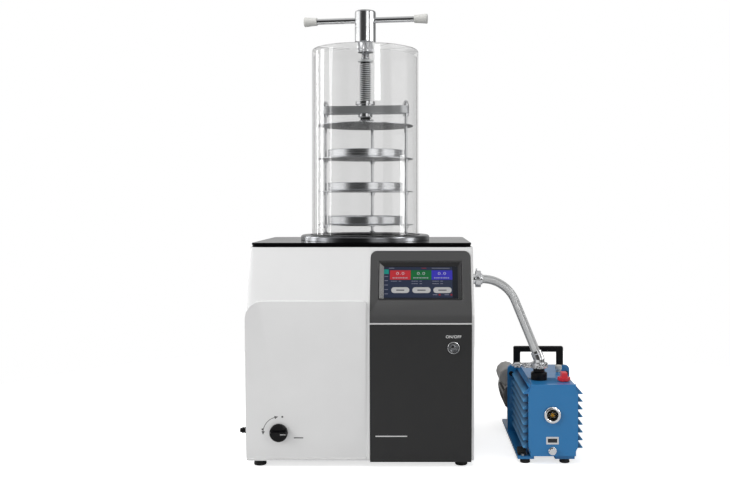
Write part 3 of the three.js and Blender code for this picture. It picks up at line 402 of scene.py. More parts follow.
def spun(profile, steps=64, bm=None):
    """A closed profile of (radius, height) points spun round the upright axis."""
    made = bmesh.new()
    points = [made.verts.new((radius, 0, height)) for radius, height in held(profile)]
    edges = [made.edges.new(pair) for pair in zip(points, points[1:])]
    if profile[0][0] > 0 and profile[-1][0] > 0:
        edges.append(made.edges.new((points[-1], points[0])))
    bmesh.ops.spin(made, geom=points + edges, cent=(0, 0, 0), axis=(0, 0, 1),
                   angle=math.tau, steps=steps, use_merge=True)
    bmesh.ops.remove_doubles(made, verts=made.verts, dist=1e-4)
    bmesh.ops.recalc_face_normals(made, faces=made.faces)
    return gathered(made, bm)


# %% Plates and blocks
def pulled_up(bm, height):
    """The flat faces of a bmesh, pulled up into a solid."""
    pulled = bmesh.ops.extrude_face_region(bm, geom=bm.faces[:])["geom"]
    bmesh.ops.translate(bm, verts=[v for v in pulled if isinstance(v, bmesh.types.BMVert)],
                        vec=(0, 0, height))
    bmesh.ops.recalc_face_normals(bm, faces=bm.faces)
    return bm


def plate(outline, bottom, top, radius=0.0, steps=6, bm=None):
    """A flat outline of (x, y) points with rounded corners, pulled from bottom to top."""
    made = bmesh.new()
    corners = [made.verts.new((x, y, bottom)) for x, y in outline]
    made.faces.new(corners)
    if radius:
        bmesh.ops.bevel(made, geom=corners, offset=radius, affect="VERTICES",
                        segments=steps, profile=0.5, material=-1)
    return gathered(pulled_up(made, top - bottom), bm)


def block(left, right, front, back, bottom, top, bm=None):
    """A cube stretched between three pairs of limits."""
    made = bmesh.new()
    bmesh.ops.create_cube(made, size=1)
    size = Matrix.Diagonal((right - left, back - front, top - bottom, 1))
    centre = Vector((left + right, front + back, bottom + top)) / 2
    bmesh.ops.transform(made, matrix=Matrix.Translation(centre) @ size, verts=made.verts)
    return gathered(made, bm)


def gathered(made, bm=None, matrix=None):
    """The shape, moved by a matrix and added to another bmesh if there is one."""
    if matrix is not None:
        bmesh.ops.transform(made, matrix=matrix, verts=made.verts)
    if bm is None:
        return made
    mesh = bpy.data.meshes.new("shell")
    made.to_mesh(mesh)
    made.free()
    bm.from_mesh(mesh)
    bpy.data.meshes.remove(mesh)
    return bm


def box_outline(half_x, half_y, x=0.0, y=0.0):
    """The four corners of a rectangle about (x, y)."""
    return [(x - half_x, y - half_y), (x + half_x, y - half_y),
            (x + half_x, y + half_y), (x - half_x, y + half_y)]


def hexagon(radius, turn=0.0):
    """The six corners of a hexagon about the origin."""
    angles = [math.radians(turn + 60 * k) for k in range(6)]
    return [(radius * math.cos(angle), radius * math.sin(angle)) for angle in angles]


# %% [markdown]
# Every shape is drawn about an upright axis of its own. Its place then turns that axis to face
# up, right or front and moves it. A small fitting takes its place from the box of the solid
# that it stands for, so that the two cannot drift apart.

# %% Places
def about(x, y, z, facing="up", turn=0.0):
    """The place of a shape whose own axis faces up, right or front, in the frame."""
    spin = Matrix.Rotation(math.radians(turn), 4, "Z")
    return Matrix.Translation(at(x, y, z)) @ Matrix.Scale(MM, 4) @ TURN[facing] @ spin


def seated(node, facing="up"):
    """The place of a shape that stands where a solid does, on its foot or its rear face."""
    low, high = span(node)
    x, y, z = (low + high) / 2
    return about(x, y, low.z) if facing == "up" else about(x, high.y, z, facing)


# %% [markdown]
# Where the frame's own solid already has the right shape, such as the folded housing with its
# openings, a copy of it is cleaned: its loose triangles are merged, flat ones are dissolved
# into whole faces, and its edges are rounded. The solid itself is left alone and hidden.

# %% Copies of solids with rounded edges
def clean_copy(node):
    """A solid of the frame as a bmesh of whole faces, in metres."""
    bm = bmesh.new()
    bm.from_mesh(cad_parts[node].data)
    bmesh.ops.remove_doubles(bm, verts=bm.verts, dist=2e-6)
    bmesh.ops.dissolve_limit(bm, angle_limit=math.radians(1), verts=bm.verts, edges=bm.edges)
    return bm


def refined(node, made_of, edge=0.6, body="machine", rounds=2):
    """A cleaned copy of a solid of the frame, with its edges rounded."""
    return piece(f"{node}_skin", clean_copy(node), made_of, body, node, edge,
                 Matrix.Identity(4), rounds)


# %% [markdown]
# ## The vacuum hose
# The hose is one fixed length of reinforced PVC between two clamped tails. It leaves the cabinet's
# port level, bends over no tighter than four times its thickness, and falls in one straight run to
# the pump, whose sleeve leans over to meet it. The corner between the two runs follows from the
# bend: moved out until the bend just fits, and then replaced by points on an arc.

# %% Hose route
HOSE_RADIUS = 10
HOSE_BEND = 80
PORT_PLACE = (270, -90, 406)
INLET_PLACE = (PUMP_X - 24, -145, 213)
KNEE = Vector(INLET_PLACE) + Vector((0, 0, 14))
SLEEVE = 18
level = Vector((1, 0, 0))
hose_start = Vector(PORT_PLACE) + level * 10.3
leave = hose_start + level * 0.5
reach = HOSE_BEND / 2
for _ in range(30):
    corner = leave + level * reach
    reach = HOSE_BEND * math.tan(level.angle(KNEE - corner) / 2)
rise = (corner - KNEE).normalized()
hose_end = KNEE + rise * (SLEEVE + 0.3)


def bent_route(first, corner, last, radius, steps):
    """Points along two straight runs whose corner is an arc."""
    come, go = (corner - first).normalized(), (last - corner).normalized()
    angle = come.angle(go)
    start = corner - come * radius * math.tan(angle / 2)
    inward = (go - come * come.dot(go)).normalized()
    route = [first]
    for step in range(steps + 1):
        turned = angle * step / steps
        route.append(start + come * radius * math.sin(turned)
                     + inward * radius * (1 - math.cos(turned)))
    return route + [last]


def between(route, count):
    """The same line with long gaps divided, so that it has even points."""
    even = []
    for first, second in zip(route, route[1:]):
        parts = max(1, round((second - first).length / count))
        even += [first.lerp(second, part / parts) for part in range(parts)]
    return even + [route[-1]]


route = between(bent_route(hose_start, corner, hose_end, HOSE_BEND, 14), 9)

# %% [markdown]
# The hose and its winding are round curves along points. The winding turns about the hose's
# own line at a steady pitch. The real one lies just under the skin; here it stands about a
# fifth of a millimetre proud, so that it shows as fine ridges. It goes with the hose wherever
# that is laid.

# %% Hose and its winding
def line_of(name, points, radius, material):
    """A round curve object along points in millimetres."""
    curve = bpy.data.curves.new(name, "CURVE")
    curve.dimensions = "3D"
    curve.bevel_depth = radius * MM
    curve.bevel_resolution = 6
    curve.use_fill_caps = True
    spline = curve.splines.new("POLY")
    spline.points.add(len(points) - 1)
    for dot, point in zip(spline.points, points):
        dot.co = (*at(*point), 1)
    curve.materials.append(material)
    made = bpy.data.objects.new(name, curve)
    bpy.context.scene.collection.objects.link(made)
    return made


def spiral_round(points, radius, pitch, steps):
    """A spiral of a pitch round a line of points."""
    wound, travelled = [], 0.0
    normal = Vector((0, -1, 0))
    for first, second in zip(points, points[1:]):
        along = (second - first).normalized()
        normal = (normal - along * normal.dot(along)).normalized()
        side = along.cross(normal)
        parts = max(1, round((second - first).length / pitch * steps))
        for part in range(parts):
            share = part / parts
            angle = math.tau * (travelled + share * (second - first).length) / pitch
            ray = normal * math.cos(angle) + side * math.sin(angle)
            wound.append(first.lerp(second, share) + ray * radius)
        travelled += (second - first).length
    return wound


hose = line_of("vacuum_hose_pvc", route, HOSE_RADIUS, milky_pvc)
spiral = line_of("vacuum_hose_spiral", spiral_round(route, HOSE_RADIUS - 0.1, 5, 14), 0.28,
                 wound_thread)
spiral.data.bevel_resolution = 1
print("winding points:", len(spiral.data.splines[0].points))
for made in (hose, spiral):
    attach(made, "machine")
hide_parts("vacuum_hose")

# %% [markdown]
# ## The cabinet
# The housing is folded from one sheet, with a front that leans back above a soft shoulder.
# Copies of the solids carry the paint, and small turned and flat pieces are added: feet, screws,
# and the printed marks. A frame on the sloping front gives the place of anything fixed to it.

# %% Cabinet skins
refined("rear_panel", powder_coat, 0.4)
refined("base_pan", satin_steel, 0.4)
refined("control_fascia", smoked_abs, 0.5)
refined("lower_fascia", dark_abs, 0.5)
refined("power_inlet", black_nylon, 0.3)

# %% Places on the sloping front
FRONT_BENDS = [Vector((-222, 15)), Vector((-240, 337)), Vector((-180, 485))]


def on_front(x, z, lift=0.0, turn=0.0):
    """The place of a shape on the front: X across, Y up the face, its own axis outwards."""
    low, high = FRONT_BENDS[:2] if z < FRONT_BENDS[1].y else FRONT_BENDS[1:]
    up = (high - low).normalized()
    depth = low.x + (z - low.y) * (high.x - low.x) / (high.y - low.y)
    across, along = Vector((1, 0, 0)), Vector((0, up.x, up.y))
    basis = Matrix((across, along, across.cross(along))).transposed().to_4x4()
    spin = Matrix.Rotation(math.radians(turn), 4, "Z")
    return (Matrix.Translation(at(x, depth, z)) @ Matrix.Scale(MM, 4) @ basis
            @ Matrix.Translation((0, 0, lift)) @ spin)


# %% [markdown]
# The lower left of the front stands two millimetres proud as one broad pressed field. It is crisp
# above and falls away softly to the right and below. The copy of the housing is cut along
# a few planes there, and the field's points are moved inwards by a smooth amount.

# %% Housing with its soft pressed field
FIELD = {"right": 16, "bottom": 17, "top": 330, "proud": 1.7, "reach": 48, "deep": 4.4}
CUTS = 9
skin = clean_copy("housing")
for step in range(CUTS):
    off = FIELD["reach"] * (step + 0.5) / CUTS
    for place, normal in ((at(FIELD["right"] - off, 0, 0), (1, 0, 0)),
                          (at(0, 0, FIELD["bottom"] + off), (0, 0, 1))):
        bmesh.ops.bisect_plane(skin, geom=skin.verts[:] + skin.edges[:] + skin.faces[:],
                               dist=1e-6, plane_co=place, plane_no=normal)
face_up = (FRONT_BENDS[1] - FRONT_BENDS[0]).normalized()
outwards = Vector((0, -face_up.y, face_up.x))
foot = at(0, *FRONT_BENDS[0])
moved = 0
for vert in skin.verts:
    spot = (vert.co - chamber) / MM
    in_field = spot.z < FIELD["top"] and spot.x < FIELD["right"] + 0.5
    if in_field and (vert.co - foot).dot(outwards) > FIELD["proud"] * MM:
        near = [max(0.0, 1 - max(0.0, gap) / FIELD["reach"]) ** 2
                for gap in (FIELD["right"] - spot.x, spot.z - FIELD["bottom"])]
        vert.co -= outwards * FIELD["deep"] * MM * (1 - (1 - near[0]) * (1 - near[1]))
        moved += 1
piece("housing_skin", skin, powder_coat, "machine", "housing", 0.6,
      Matrix.Identity(4))
print("points of the pressed field:", moved)

# %% [markdown]
# The worktop is an enamelled sheet with a folded rim: a full plate over a slightly smaller one,
# so that a thin line of shadow runs round it. The feet are moulded rubber, and a barbed nozzle
# low on the left side takes the vent's tube.

# %% Worktop, feet and vent
SHEET_LIP = 1.2
low, high = span("top_plate")
half_x, half_y = (high.x - low.x) / 2, (high.y - low.y) / 2
top = plate(box_outline(half_x - SHEET_LIP, half_y - SHEET_LIP), low.z, low.z + 4.4, 13, 8)
plate(box_outline(half_x, half_y), low.z + 4.6, high.z, 14, 8, bm=top)
piece("worktop_enamel", top, black_enamel, stands_for="top_plate", edge=1.1,
      rounds=3)

for name in ("foot_front_left", "foot_front_right", "foot_rear_left", "foot_rear_right"):
    rubber = spun([(0, 0), (12.4, 0), (13.8, 1.4), (14, 3), (12.2, 14.7), (0, 14.7)], 40)
    piece(f"{name}_rubber", rubber, nitrile, stands_for=name, place=seated(name))

nozzle = spun([(1.8, -6), (3, -6), (3, 0.3), (7, 0.3), (7, 8.4), (6.6, 9.2), (5.4, 9.6),
               (5.4, 10.6), (6.6, 11), (6.6, 14.2), (5, 15.2), (4.4, 15.4), (5.4, 17), (4.4, 19),
               (1.8, 19)], 32)
piece("vent_nozzle_barbed", nozzle, black_nylon, stands_for="vent_nozzle",
      place=about(-252, -190, 75, "right") @ Matrix.Rotation(math.pi, 4, "X"), edge=0.2)

# %% [markdown]
# ## Touch screen
# The display sits deep in a moulded frame whose walls slope inwards. Four loops of points are
# joined by quads to make it. The left and lower walls are polished and the other two are
# satin, so that one edge catches the light.

# %% Screen frame and glass
SCREEN_PLACE = (133, 412.5)
display_glass = grain(finish("display_glass_dark", "11161F", 0.08), 20, 0.002, (0.06, 0.1),
                      "131822")
TONES = {"navy": "262D40", "red": "A92C33", "green": "145B31", "blue": "332F9E", "teal": "1A857A",
         "pill": "ABABAB", "mist": "77798A", "pale": "9496A0", "white": "B4B6BE",
         "ink": "30343C", "signal": "8C2228"}
lit = {tone: grain(finish(f"display_{tone}", code, 0.4, Specular_IOR_Level=0.2,
                          Emission_Strength=0.12, Emission_Color=linear(code)),
                   10, 0.001, (0.35, 0.45), code)
       for tone, code in TONES.items()}


def round_loop(x, y, half_x, half_y, radius, height, steps=4):
    """The points of a rectangle with rounded corners at a height, about (x, y)."""
    points = []
    for corner, (side_x, side_y) in enumerate(((1, 1), (-1, 1), (-1, -1), (1, -1))):
        for step in range(steps + 1):
            angle = math.radians(90 * (corner + step / steps))
            points.append((x + side_x * (half_x - radius) + radius * math.cos(angle),
                           y + side_y * (half_y - radius) + radius * math.sin(angle), height))
    return points


FRAME_LOOPS = [(0, 0, 91.6, 43.6, 3, -10.6), (0, 0, 91.6, 43.6, 3, 0.4),
               (0, 0, 90.8, 42.8, 2.4, 0.4), (1.5, -2.3, 82.3, 37.5, 1, -7.6)]
rim = bmesh.new()
loops = [[rim.verts.new(point) for point in round_loop(*loop)] for loop in FRAME_LOOPS]
for low_loop, high_loop in zip(loops, loops[1:]):
    for k, vert in enumerate(low_loop):
        rim.faces.new((low_loop[k - 1], vert, high_loop[k], high_loop[k - 1]))
bmesh.ops.recalc_face_normals(rim, faces=rim.faces)
bezel_gloss = grain(finish("moulded_abs_high_gloss", "262626", 0.16, Specular_IOR_Level=1.0,
                           Coat_Weight=1.0), 3, 0.01, (0.12, 0.2), "2B2B2B")
lip = piece("screen_frame", rim, [smoked_abs, bezel_gloss, dark_abs], stands_for="touch_screen",
            place=Matrix.Identity(4))
for face in lip.data.polygons:
    heights = [lip.data.vertices[v].co.z for v in face.vertices]
    on_wall = -8 < min(heights) < -5 < max(heights)
    satin = face.center.x > 60 or face.center.y > 30
    face.material_index = 1 + satin if on_wall else 0
lip.data.transform(on_front(*SCREEN_PLACE))
GLASS = -7.4
glass = plate(box_outline(86, 41), GLASS - 2.6, GLASS, 1.5, 3)
piece("screen_glass", glass, display_glass, place=on_front(*SCREEN_PLACE))

# %% [markdown]
# The display's page is built from thin tiles on the glass: a status line, a column of page
# keys, three coloured readings and three grey keys. Rows of short blocks stand for small
# print, and every tile glows a little, as a lit display does.

# %% Screen page
RAISED = 0.6


def tiles(name, tone, boxes, radius=0.0, layer=0, thick=0.06):
    """Thin tiles on the glass, each given as left, right, bottom and top in mm."""
    bm = bmesh.new()
    level = GLASS + 0.02 + 0.08 * layer
    for left, right, bottom, top in boxes:
        bottom, top = bottom + RAISED, top + RAISED
        plate([(left, bottom), (right, bottom), (right, top), (left, top)], level, level + thick,
              radius, 5, bm=bm)
    return piece(name, bm, lit[tone], place=on_front(*SCREEN_PLACE))


tiles("screen_page", "navy", [(-81.5, 72, -38, 33)])
tiles("screen_key_teal", "teal", [(-81, -70.5, 17, 27.5)], layer=1)
BLOCKS = {"red": (-67.6, -21.6), "green": (-21.2, 25), "blue": (25.4, 72)}
for tone, (left, right) in BLOCKS.items():
    tiles(f"screen_reading_{tone}", tone, [(left, right, 3.5, 25.5)], layer=1)
PILLS = [(-64.4, -24.4), (-17.5, 23), (29.3, 69.8)]
tiles("screen_pills", "pill", [(left, right, -27.4, -14) for left, right in PILLS], 6.4, layer=1)
tiles("screen_pill_bars", "ink", [(left + 11, right - 11, -21.8, -19.6) for left, right in PILLS],
      0.6, layer=2)


def words(left, right, low, high, gap=0.8):
    """A row of short blocks that stands for a line of small print."""
    row, start, turn = [], left, 0
    while start + 1.2 < right:
        end = min(right, start + (2.6, 1.6, 3.0, 2.0)[turn % 4])
        row.append((start, end, low, high))
        start, turn = end + gap, turn + 1
    return row


bars = [(-80, -72, z, z + 1.4) for z in (10.4, 0.6, -9.6, -20, -30)]
for left, _ in BLOCKS.values():
    for z in (-0.6, -6.4) if left > -60 else (-0.6,):
        bars += words(left + 2, left + 16, z, z + 1.4) + words(left + 20, left + 26, z, z + 1.4)
bars += [(-70, -58, 29.8, 31), (26, 66, 29.8, 31), (28, 38, -32, -30.6), (54, 64, -32, -30.6)]
tiles("screen_bars", "mist", bars, layer=2)
names = [block for left, right in BLOCKS.values()
         for block in words(left + 6, right - 5, 6.6, 9, 1.5)]
tiles("screen_names", "pale", names, layer=2)
tiles("screen_signals", "signal",
      [(41, 45, -33.2, -29.4), (67.4, 71, -33.2, -29.4), (3, 14, 29.9, 31)], layer=2)

# %% [markdown]
# The digits and the words over the switch are text in Blender's own typeface, turned into
# thin plates so that they are placed like any other piece.

# %% Numbers and words as thin plates
def lettering(text, size, thick=0.06, centre=(0, 0), bold=0.0, spread=1.0):
    """Plain letters as a bmesh of thin plates, in mm, centred on a point."""
    curve = bpy.data.curves.new(text, "FONT")
    curve.body = text
    curve.size = size
    curve.extrude = thick / 2
    curve.offset = bold
    curve.space_character = spread
    curve.align_x = "CENTER"
    curve.align_y = "CENTER"
    carrier = bpy.data.objects.new(text, curve)
    bpy.context.scene.collection.objects.link(carrier)
    bpy.context.view_layer.update()
    flat = bpy.data.meshes.new_from_object(
        carrier.evaluated_get(bpy.context.evaluated_depsgraph_get()))
    bm = bmesh.new()
    bm.from_mesh(flat)
    bmesh.ops.translate(bm, verts=bm.verts, vec=(*centre, thick / 2))
    bpy.data.objects.remove(carrier)
    bpy.data.curves.remove(curve)
    bpy.data.meshes.remove(flat)
    return bm


numbers = bmesh.new()
WIDER = Matrix.Diagonal((1.45, 1, 1, 1))
for left, right in BLOCKS.values():
    wide = Matrix.Translation(((left + right) / 2, 17.8 + RAISED, 0)) @ WIDER
    gathered(lettering("0.0", 9.2, bold=-0.12, spread=1.2), numbers, wide)
piece("screen_numbers", numbers, lit["white"],
      place=on_front(*SCREEN_PLACE, lift=GLASS + 0.18))
piece("label_on_off", lettering("ON/OFF", 9.2, bold=0.02, spread=1.04), print_bright,
      place=on_front(206, 291, lift=0.62))
stripe = plate([(34, -1.2), (104, -1.2), (104, 1.2), (34, 1.2)], 0.6, 0.68, 0.6, 2)
piece("label_stripe", stripe, print_white, place=on_front(0, 70))

# %% [markdown]
# ## Button and vent knob
# The switch is a dull stainless push button in a polished ring. The vent knob is moulded nylon
# with a grip bar, and an arrow printed round it shows which way it turns.

# %% Button
BUTTON_PLACE = (206, 267)
bezel = spun([(10.9, 0.9), (13.5, 0.9), (13.5, 1.5), (12.9, 2.6), (12.3, 2.9), (11.8, 2.6),
              (11.2, 1.4), (10.9, 1.2)], 64)
piece("button_ring", bezel, mirror_steel, stands_for="button_bezel",
      place=on_front(*BUTTON_PLACE), edge=0.15)
cap = spun([(0, -9), (10.4, -9), (10.4, 2.8), (9.6, 3.8), (8.2, 4), (7.4, 3.6), (6.6, 2.6),
            (5.6, 2.4), (4.6, 2.9), (0, 3.6)], 64)
piece("button_cap", cap, ring_steel, body="button", stands_for="power_button",
      place=on_front(*BUTTON_PLACE))

# %% Vent knob and its arrow
KNOB_PLACE = (-179, 79)
dial = spun([(0, -9.7), (4, -9.7), (4, 2.4), (19.2, 2.4), (20, 3.2), (20, 8), (18.4, 10.2),
             (0, 10.2)], 64)
bar = plate([(-4.2, -17), (4.2, -17), (5.2, 16), (2, 19), (-2, 19), (-5.2, 16)], 9.6, 19, 1.2, 3)
gathered(bar, dial, Matrix.Rotation(math.radians(-90), 4, "Z"))
piece("vent_knob_grip", dial, black_nylon, body="knob", stands_for="vent_knob",
      place=on_front(*KNOB_PLACE), edge=0.7, rounds=3)
line = plate([(5, -0.7), (17, -0.7), (17, 0.7), (5, 0.7)], 19, 19.1)
piece("vent_knob_line", line, print_white, body="knob",
      place=on_front(*KNOB_PLACE))


def arc_band(radius, width, start, end, bottom, top, bm=None):
    """A flat band along an arc, between two angles in degrees."""
    made = bmesh.new()
    section = [(radius, bottom), (radius + width, bottom), (radius + width, top), (radius, top)]
    turned = Matrix.Rotation(math.radians(start), 4, "Z")
    points = [made.verts.new(turned @ Vector((x, 0, z))) for x, z in section]
    face = made.faces.new(points)
    bmesh.ops.spin(made, geom=[*points, *face.edges, face], cent=(0, 0, 0), axis=(0, 0, 1),
                   angle=math.radians(end - start), steps=24)
    bmesh.ops.recalc_face_normals(made, faces=made.faces)
    return gathered(made, bm)


PRINT = (2.02, 2.1)
ARC = {"radius": 34, "width": 1.3, "start": 105, "end": 175}
arrow = arc_band(*ARC.values(), *PRINT)
for angle, tip in ((ARC["start"], -8), (ARC["end"], 8)):
    head = plate([(-3.6, 0), (3.6, 0), (0, tip)], *PRINT)
    gathered(head, arrow, Matrix.Rotation(math.radians(angle), 4, "Z")
             @ Matrix.Translation((ARC["radius"] + 0.6, 0, 0)))
for x, y in ((8, 35), (-36, 7)):
    plate(box_outline(2, 2, x, y), *PRINT, 0.8, 2, bm=arrow)
plate(box_outline(10.5, 1.2, 43.5, -12), *PRINT, 0.8, 2, bm=arrow)
piece("vent_arrow_print", arrow, print_grey, place=on_front(*KNOB_PLACE))

# %% [markdown]
# ## The back of the cabinet
# Self-tapping screws hold the rear panel along its edges. Behind its grille a fan blows air
# through the condenser, and both can be seen between the slots.

# %% Screws
def screw_heads(name, places, radius, made_of, place, body="machine"):
    """Pan heads with a cross slot, one at each place."""
    bm = bmesh.new()
    for x, y in places:
        head = spun([(0, 0), (1, 0), (0.96, 0.3), (0.6, 0.55), (0, 0.6)], 20)
        for half_x, half_y in ((0.55, 0.1), (0.1, 0.55)):
            block(-half_x, half_x, -half_y, half_y, 0.5, 0.64, bm=head)
        gathered(head, bm, Matrix.Translation((x, y, 0)) @ Matrix.Scale(radius, 4))
    return piece(name, bm, made_of, body, place=place)


BACK = (Matrix.Translation(at(0, span("rear_panel")[1].y + 0.1, 0)) @ Matrix.Scale(MM, 4)
        @ Matrix.Rotation(-math.pi / 2, 4, "X"))
edge_screws = [(x, -z) for x in (-238, 238) for z in (40, 180, 320, 460)]
edge_screws += [(x, -z) for x in (-120, 0, 120) for z in (28, 472)]
screw_heads("rear_screws", edge_screws, 3.6, zinc_plate, BACK)

# %% Cooling machinery behind the grille
for name, made_of, slot, body in (
        ("fan_rotor", black_nylon, "black_plastic", "fan"),
        ("fan_shroud", satin_steel, "stainless", "machine"),
        ("condenser", copper, "copper", "machine"),
        ("compressor", black_nylon, "black_plastic", "machine")):
    refined(name, made_of, 0.4, body)
carried = {"trap_insulation": nitrile, "evaporator_coil": copper}
for name, material in carried.items():
    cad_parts[name].data.materials.clear()
    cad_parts[name].data.materials.append(material)

# %% [markdown]
# ## Chamber
# The steel ring seals on the cold trap's flange and carries the rack. The trap is a deep well
# of thin steel in which the vapour freezes, and a rubber seal lies in the ring's groove. All
# three are turned from profiles.

# %% Ring, trap and seal
ring = spun([(93, 495.3), (157, 495.3), (157, 503.6), (155.6, 506.2), (152, 508), (134, 508),
             (134, 504), (121, 504), (121, 508), (96, 508), (93, 506)], 128)
piece("base_ring_polished", ring, ring_steel, stands_for="base_ring",
      edge=0.4)
well = spun([(0, 339.7), (85, 339.7), (95, 349.7), (95, 490.7), (104, 490.7), (104, 494.7),
             (93, 494.7), (93, 352), (90, 344.5), (84, 341.7), (0, 341.7)], 96)
piece("cold_trap_polished", well, spun_steel, stands_for="cold_trap", edge=0.3)
seal = spun([(121.6, 504.4), (133.4, 504.4), (133.4, 508.6), (132.6, 509.2), (122.4, 509.2),
             (121.6, 508.6)], 96)
piece("chamber_seal_rubber", seal, nitrile, stands_for="chamber_seal")

# %% [markdown]
# Above the ring stands the acrylic bell: a tube whose top is closed by a thick lid. The tube's
# inside has no clear coat, so each wall is mirrored once. A hexagonal gland holds the seal of
# the shaft that comes through the lid.

# %% Acrylic bell
bell = spun([(125, 509.4), (130, 509.4), (130, 954.6), (129.3, 956.6), (127.4, 958), (9.6, 958),
             (9.6, 943), (122.6, 943), (124.4, 942.2), (125, 940.6)], 160)
clear = piece("chamber_bell_acrylic", bell, [acrylic, acrylic_inside], stands_for="chamber_bell",
              edge=0.3)
for face in clear.data.polygons:
    from_axis = math.hypot(face.center.x - chamber.x, face.center.y - chamber.y)
    face.material_index = int(from_axis < 129.4 * MM)

# %% Gland
gland = plate(hexagon(21, 90), 958.4, 969.6)
spun([(6.6, 946.4), (9, 946.4), (9, 959), (6.6, 959)], 40, bm=gland)
piece("gland_nut_polished", gland, cast_steel, stands_for="gland_nut",
      edge=0.9, rounds=3)

# %% [markdown]
# ## Tee handle
# The hub is turned from bright bar, with a fine seam where its two halves screw together.
# A round bar runs across it and carries two flared plastic caps. Below the lid the shaft turns
# into a hexagon that slides inside the press screw.

# %% Hub, bar, caps and shaft
TEE_TURN = -8.5
RACK_TURN = -7
hub = spun([(0, 970.4), (20, 970.4), (21.4, 971.8), (21.4, 976), (25.75, 979.6), (25.75, 1011.6),
            (25.2, 1012), (25.2, 1012.8), (25.75, 1013.2), (25.75, 1051), (24.6, 1054.4),
            (21.4, 1056), (0, 1056)], 128)
piece("tee_hub_polished", hub, fine_steel, "tee_handle", "tee_hub",
      place=about(0, 0, 0, turn=TEE_TURN))
tee_place = about(0, 0, middle("tee_bar").z, turn=TEE_TURN) @ TURN["right"]
rod = spun([(0, -147), (6.4, -147), (7, -146.4), (7, 146.4), (6.4, 147), (0, 147)], 48)
piece("tee_bar_polished", rod, fine_steel, "tee_handle", "tee_bar",
      place=tee_place)
for name, way in (("bar_cap_left", -1), ("bar_cap_right", 1)):
    end = spun([(7.4, 121.5), (9, 121.5), (9.6, 122.4), (9.9, 130), (11.6, 148), (12, 151.5),
                (11.6, 153), (10.4, 153.5), (3, 153), (0, 152.8), (0, 147.5), (7.4, 147.5)], 48)
    piece(f"{name}_moulded", end, pale_plastic, "tee_handle", name,
          place=tee_place @ Matrix.Rotation(0 if way > 0 else math.pi, 4, "X"))
shaft = spun([(0, 930), (6, 930), (6, 938), (9.4, 938), (10, 938.6), (10, 942.2), (9.4, 942.7),
              (6, 942.7), (6, 1003.6), (0, 1003.6)], 48)
plate(hexagon(6.9), 858, 934, bm=shaft)
piece("drive_shaft_polished", shaft, mirror_steel, "tee_handle", "drive_shaft",
      place=about(0, 0, 0, turn=RACK_TURN), edge=0.2)

# %% [markdown]
# ## Press screw
# One tooth of the thread is a short zigzag line with a flat root and a flat crest, and the spin
# operator sweeps it round the axis while it climbs by one pitch a turn. The real screw climbs three
# millimetres a turn. The tooth is drawn coarser here, so that it still shows in a view of the whole
# machine, and its root is painted nearly black as painted shade.

# %% Thread
PITCH = 4.6
THREAD = {"root": 11.4, "crest": 14.5, "bottom": 789, "top": 930.8}


def thread(bm, steps=28):
    """A flat-topped thread about the upright axis, between two heights."""
    made = bmesh.new()
    turns = int((THREAD["top"] - THREAD["bottom"]) / PITCH) - 1
    start = THREAD["bottom"]
    tooth = [(THREAD["root"], 0), (THREAD["root"], 0.45 * PITCH), (THREAD["crest"], 0.55 * PITCH),
             (THREAD["crest"], 0.9 * PITCH), (THREAD["root"], PITCH)]
    points = [made.verts.new((radius, 0, start + height)) for radius, height in tooth]
    edges = [made.edges.new(pair) for pair in zip(points, points[1:])]
    bmesh.ops.spin(made, geom=points + edges, cent=(0, 0, 0), axis=(0, 0, 1),
                   dvec=(0, 0, PITCH / steps), angle=math.tau * turns, steps=steps * turns)
    bmesh.ops.remove_doubles(made, verts=made.verts, dist=1e-3)
    bmesh.ops.recalc_face_normals(made, faces=made.faces)
    return gathered(made, bm)


screw = spun([(0, 778.7), (9.4, 778.7), (10, 779.3), (10, 788.3), (11.8, 788.3), (11.8, 931),
              (17.9, 931), (18.5, 931.6), (18.5, 934.4), (17.9, 935), (7.9, 935), (7.9, 800),
              (0, 800)], 56)
thread(screw)
# Painted shade: the faces in the thread's root are painted nearly black, for the shadow deep in the
# groove.
painted_root_shade = grain(finish("thread_root_painted_shade", "0C0C0C", 0.4), 4, 0.02, (0.35, 0.5), "141414")
rolled_steel = grain(finish("stainless_steel_rolled_thread", "F0F1F2", 0.5, 1.0), 4, 0.02,
                     (0.45, 0.55), "E8E9EA")
screw_made = piece("press_screw_threaded", screw, [rolled_steel, painted_root_shade], "screw", "press_screw",
                   place=about(0, 0, 0))
for face in screw_made.data.polygons:
    spot = (face.center - chamber) / MM
    in_groove = 790 < spot.z < 929 and 11 < math.hypot(spot.x, spot.y) < 12.6
    face.material_index = int(in_groove)

# %% [markdown]
# ## Rack
# Three steel rods carry the shelves under a heavy crossbar. Collars hold the shelves, and domed
# nuts close the two side rods above the bar. A rod, its collars and its nut are one profile.

# %% Rods
RACK_SPOTS = {"rod_right": (100, 0), "rod_left": (-100, 0), "rod_back": (0, 100)}
SHELF_HEIGHTS = [round(middle(name).z, 1) for name in ("shelf_1", "shelf_2", "shelf_3")]
turned_rack = Matrix.Rotation(math.radians(RACK_TURN), 4, "Z")
for name, (x, y) in RACK_SPOTS.items():
    profile = [(0, 508.3), (7, 508.3), (7, 512), (6, 513), (4, 513.4)]
    for height in SHELF_HEIGHTS:
        seat = height - 1.3
        profile += [(4, seat - 7), (6, seat - 7), (6.5, seat - 6.5), (6.5, seat), (4, seat)]
    if name == "rod_back":
        profile += [(4, 797), (2.5, 799.6), (0, 800)]
    else:
        profile += [(4, 797), (7, 797), (7, 803.7), (4, 803.7), (4, 822.3), (7.5, 822.3)]
        profile += [(7.5, 827.6)]
        profile += [(5.6 * math.cos(a) + 0.2, 829 + 7.2 * math.sin(a)) for a in (0, 0.4, 0.8, 1.2)]
        profile += [(0, 836.4)]
    where = turned_rack @ Vector((x, y, 0))
    piece(f"{name}_steel", spun(profile, 32), mirror_steel, stands_for=name,
          place=about(where.x, where.y, 0))

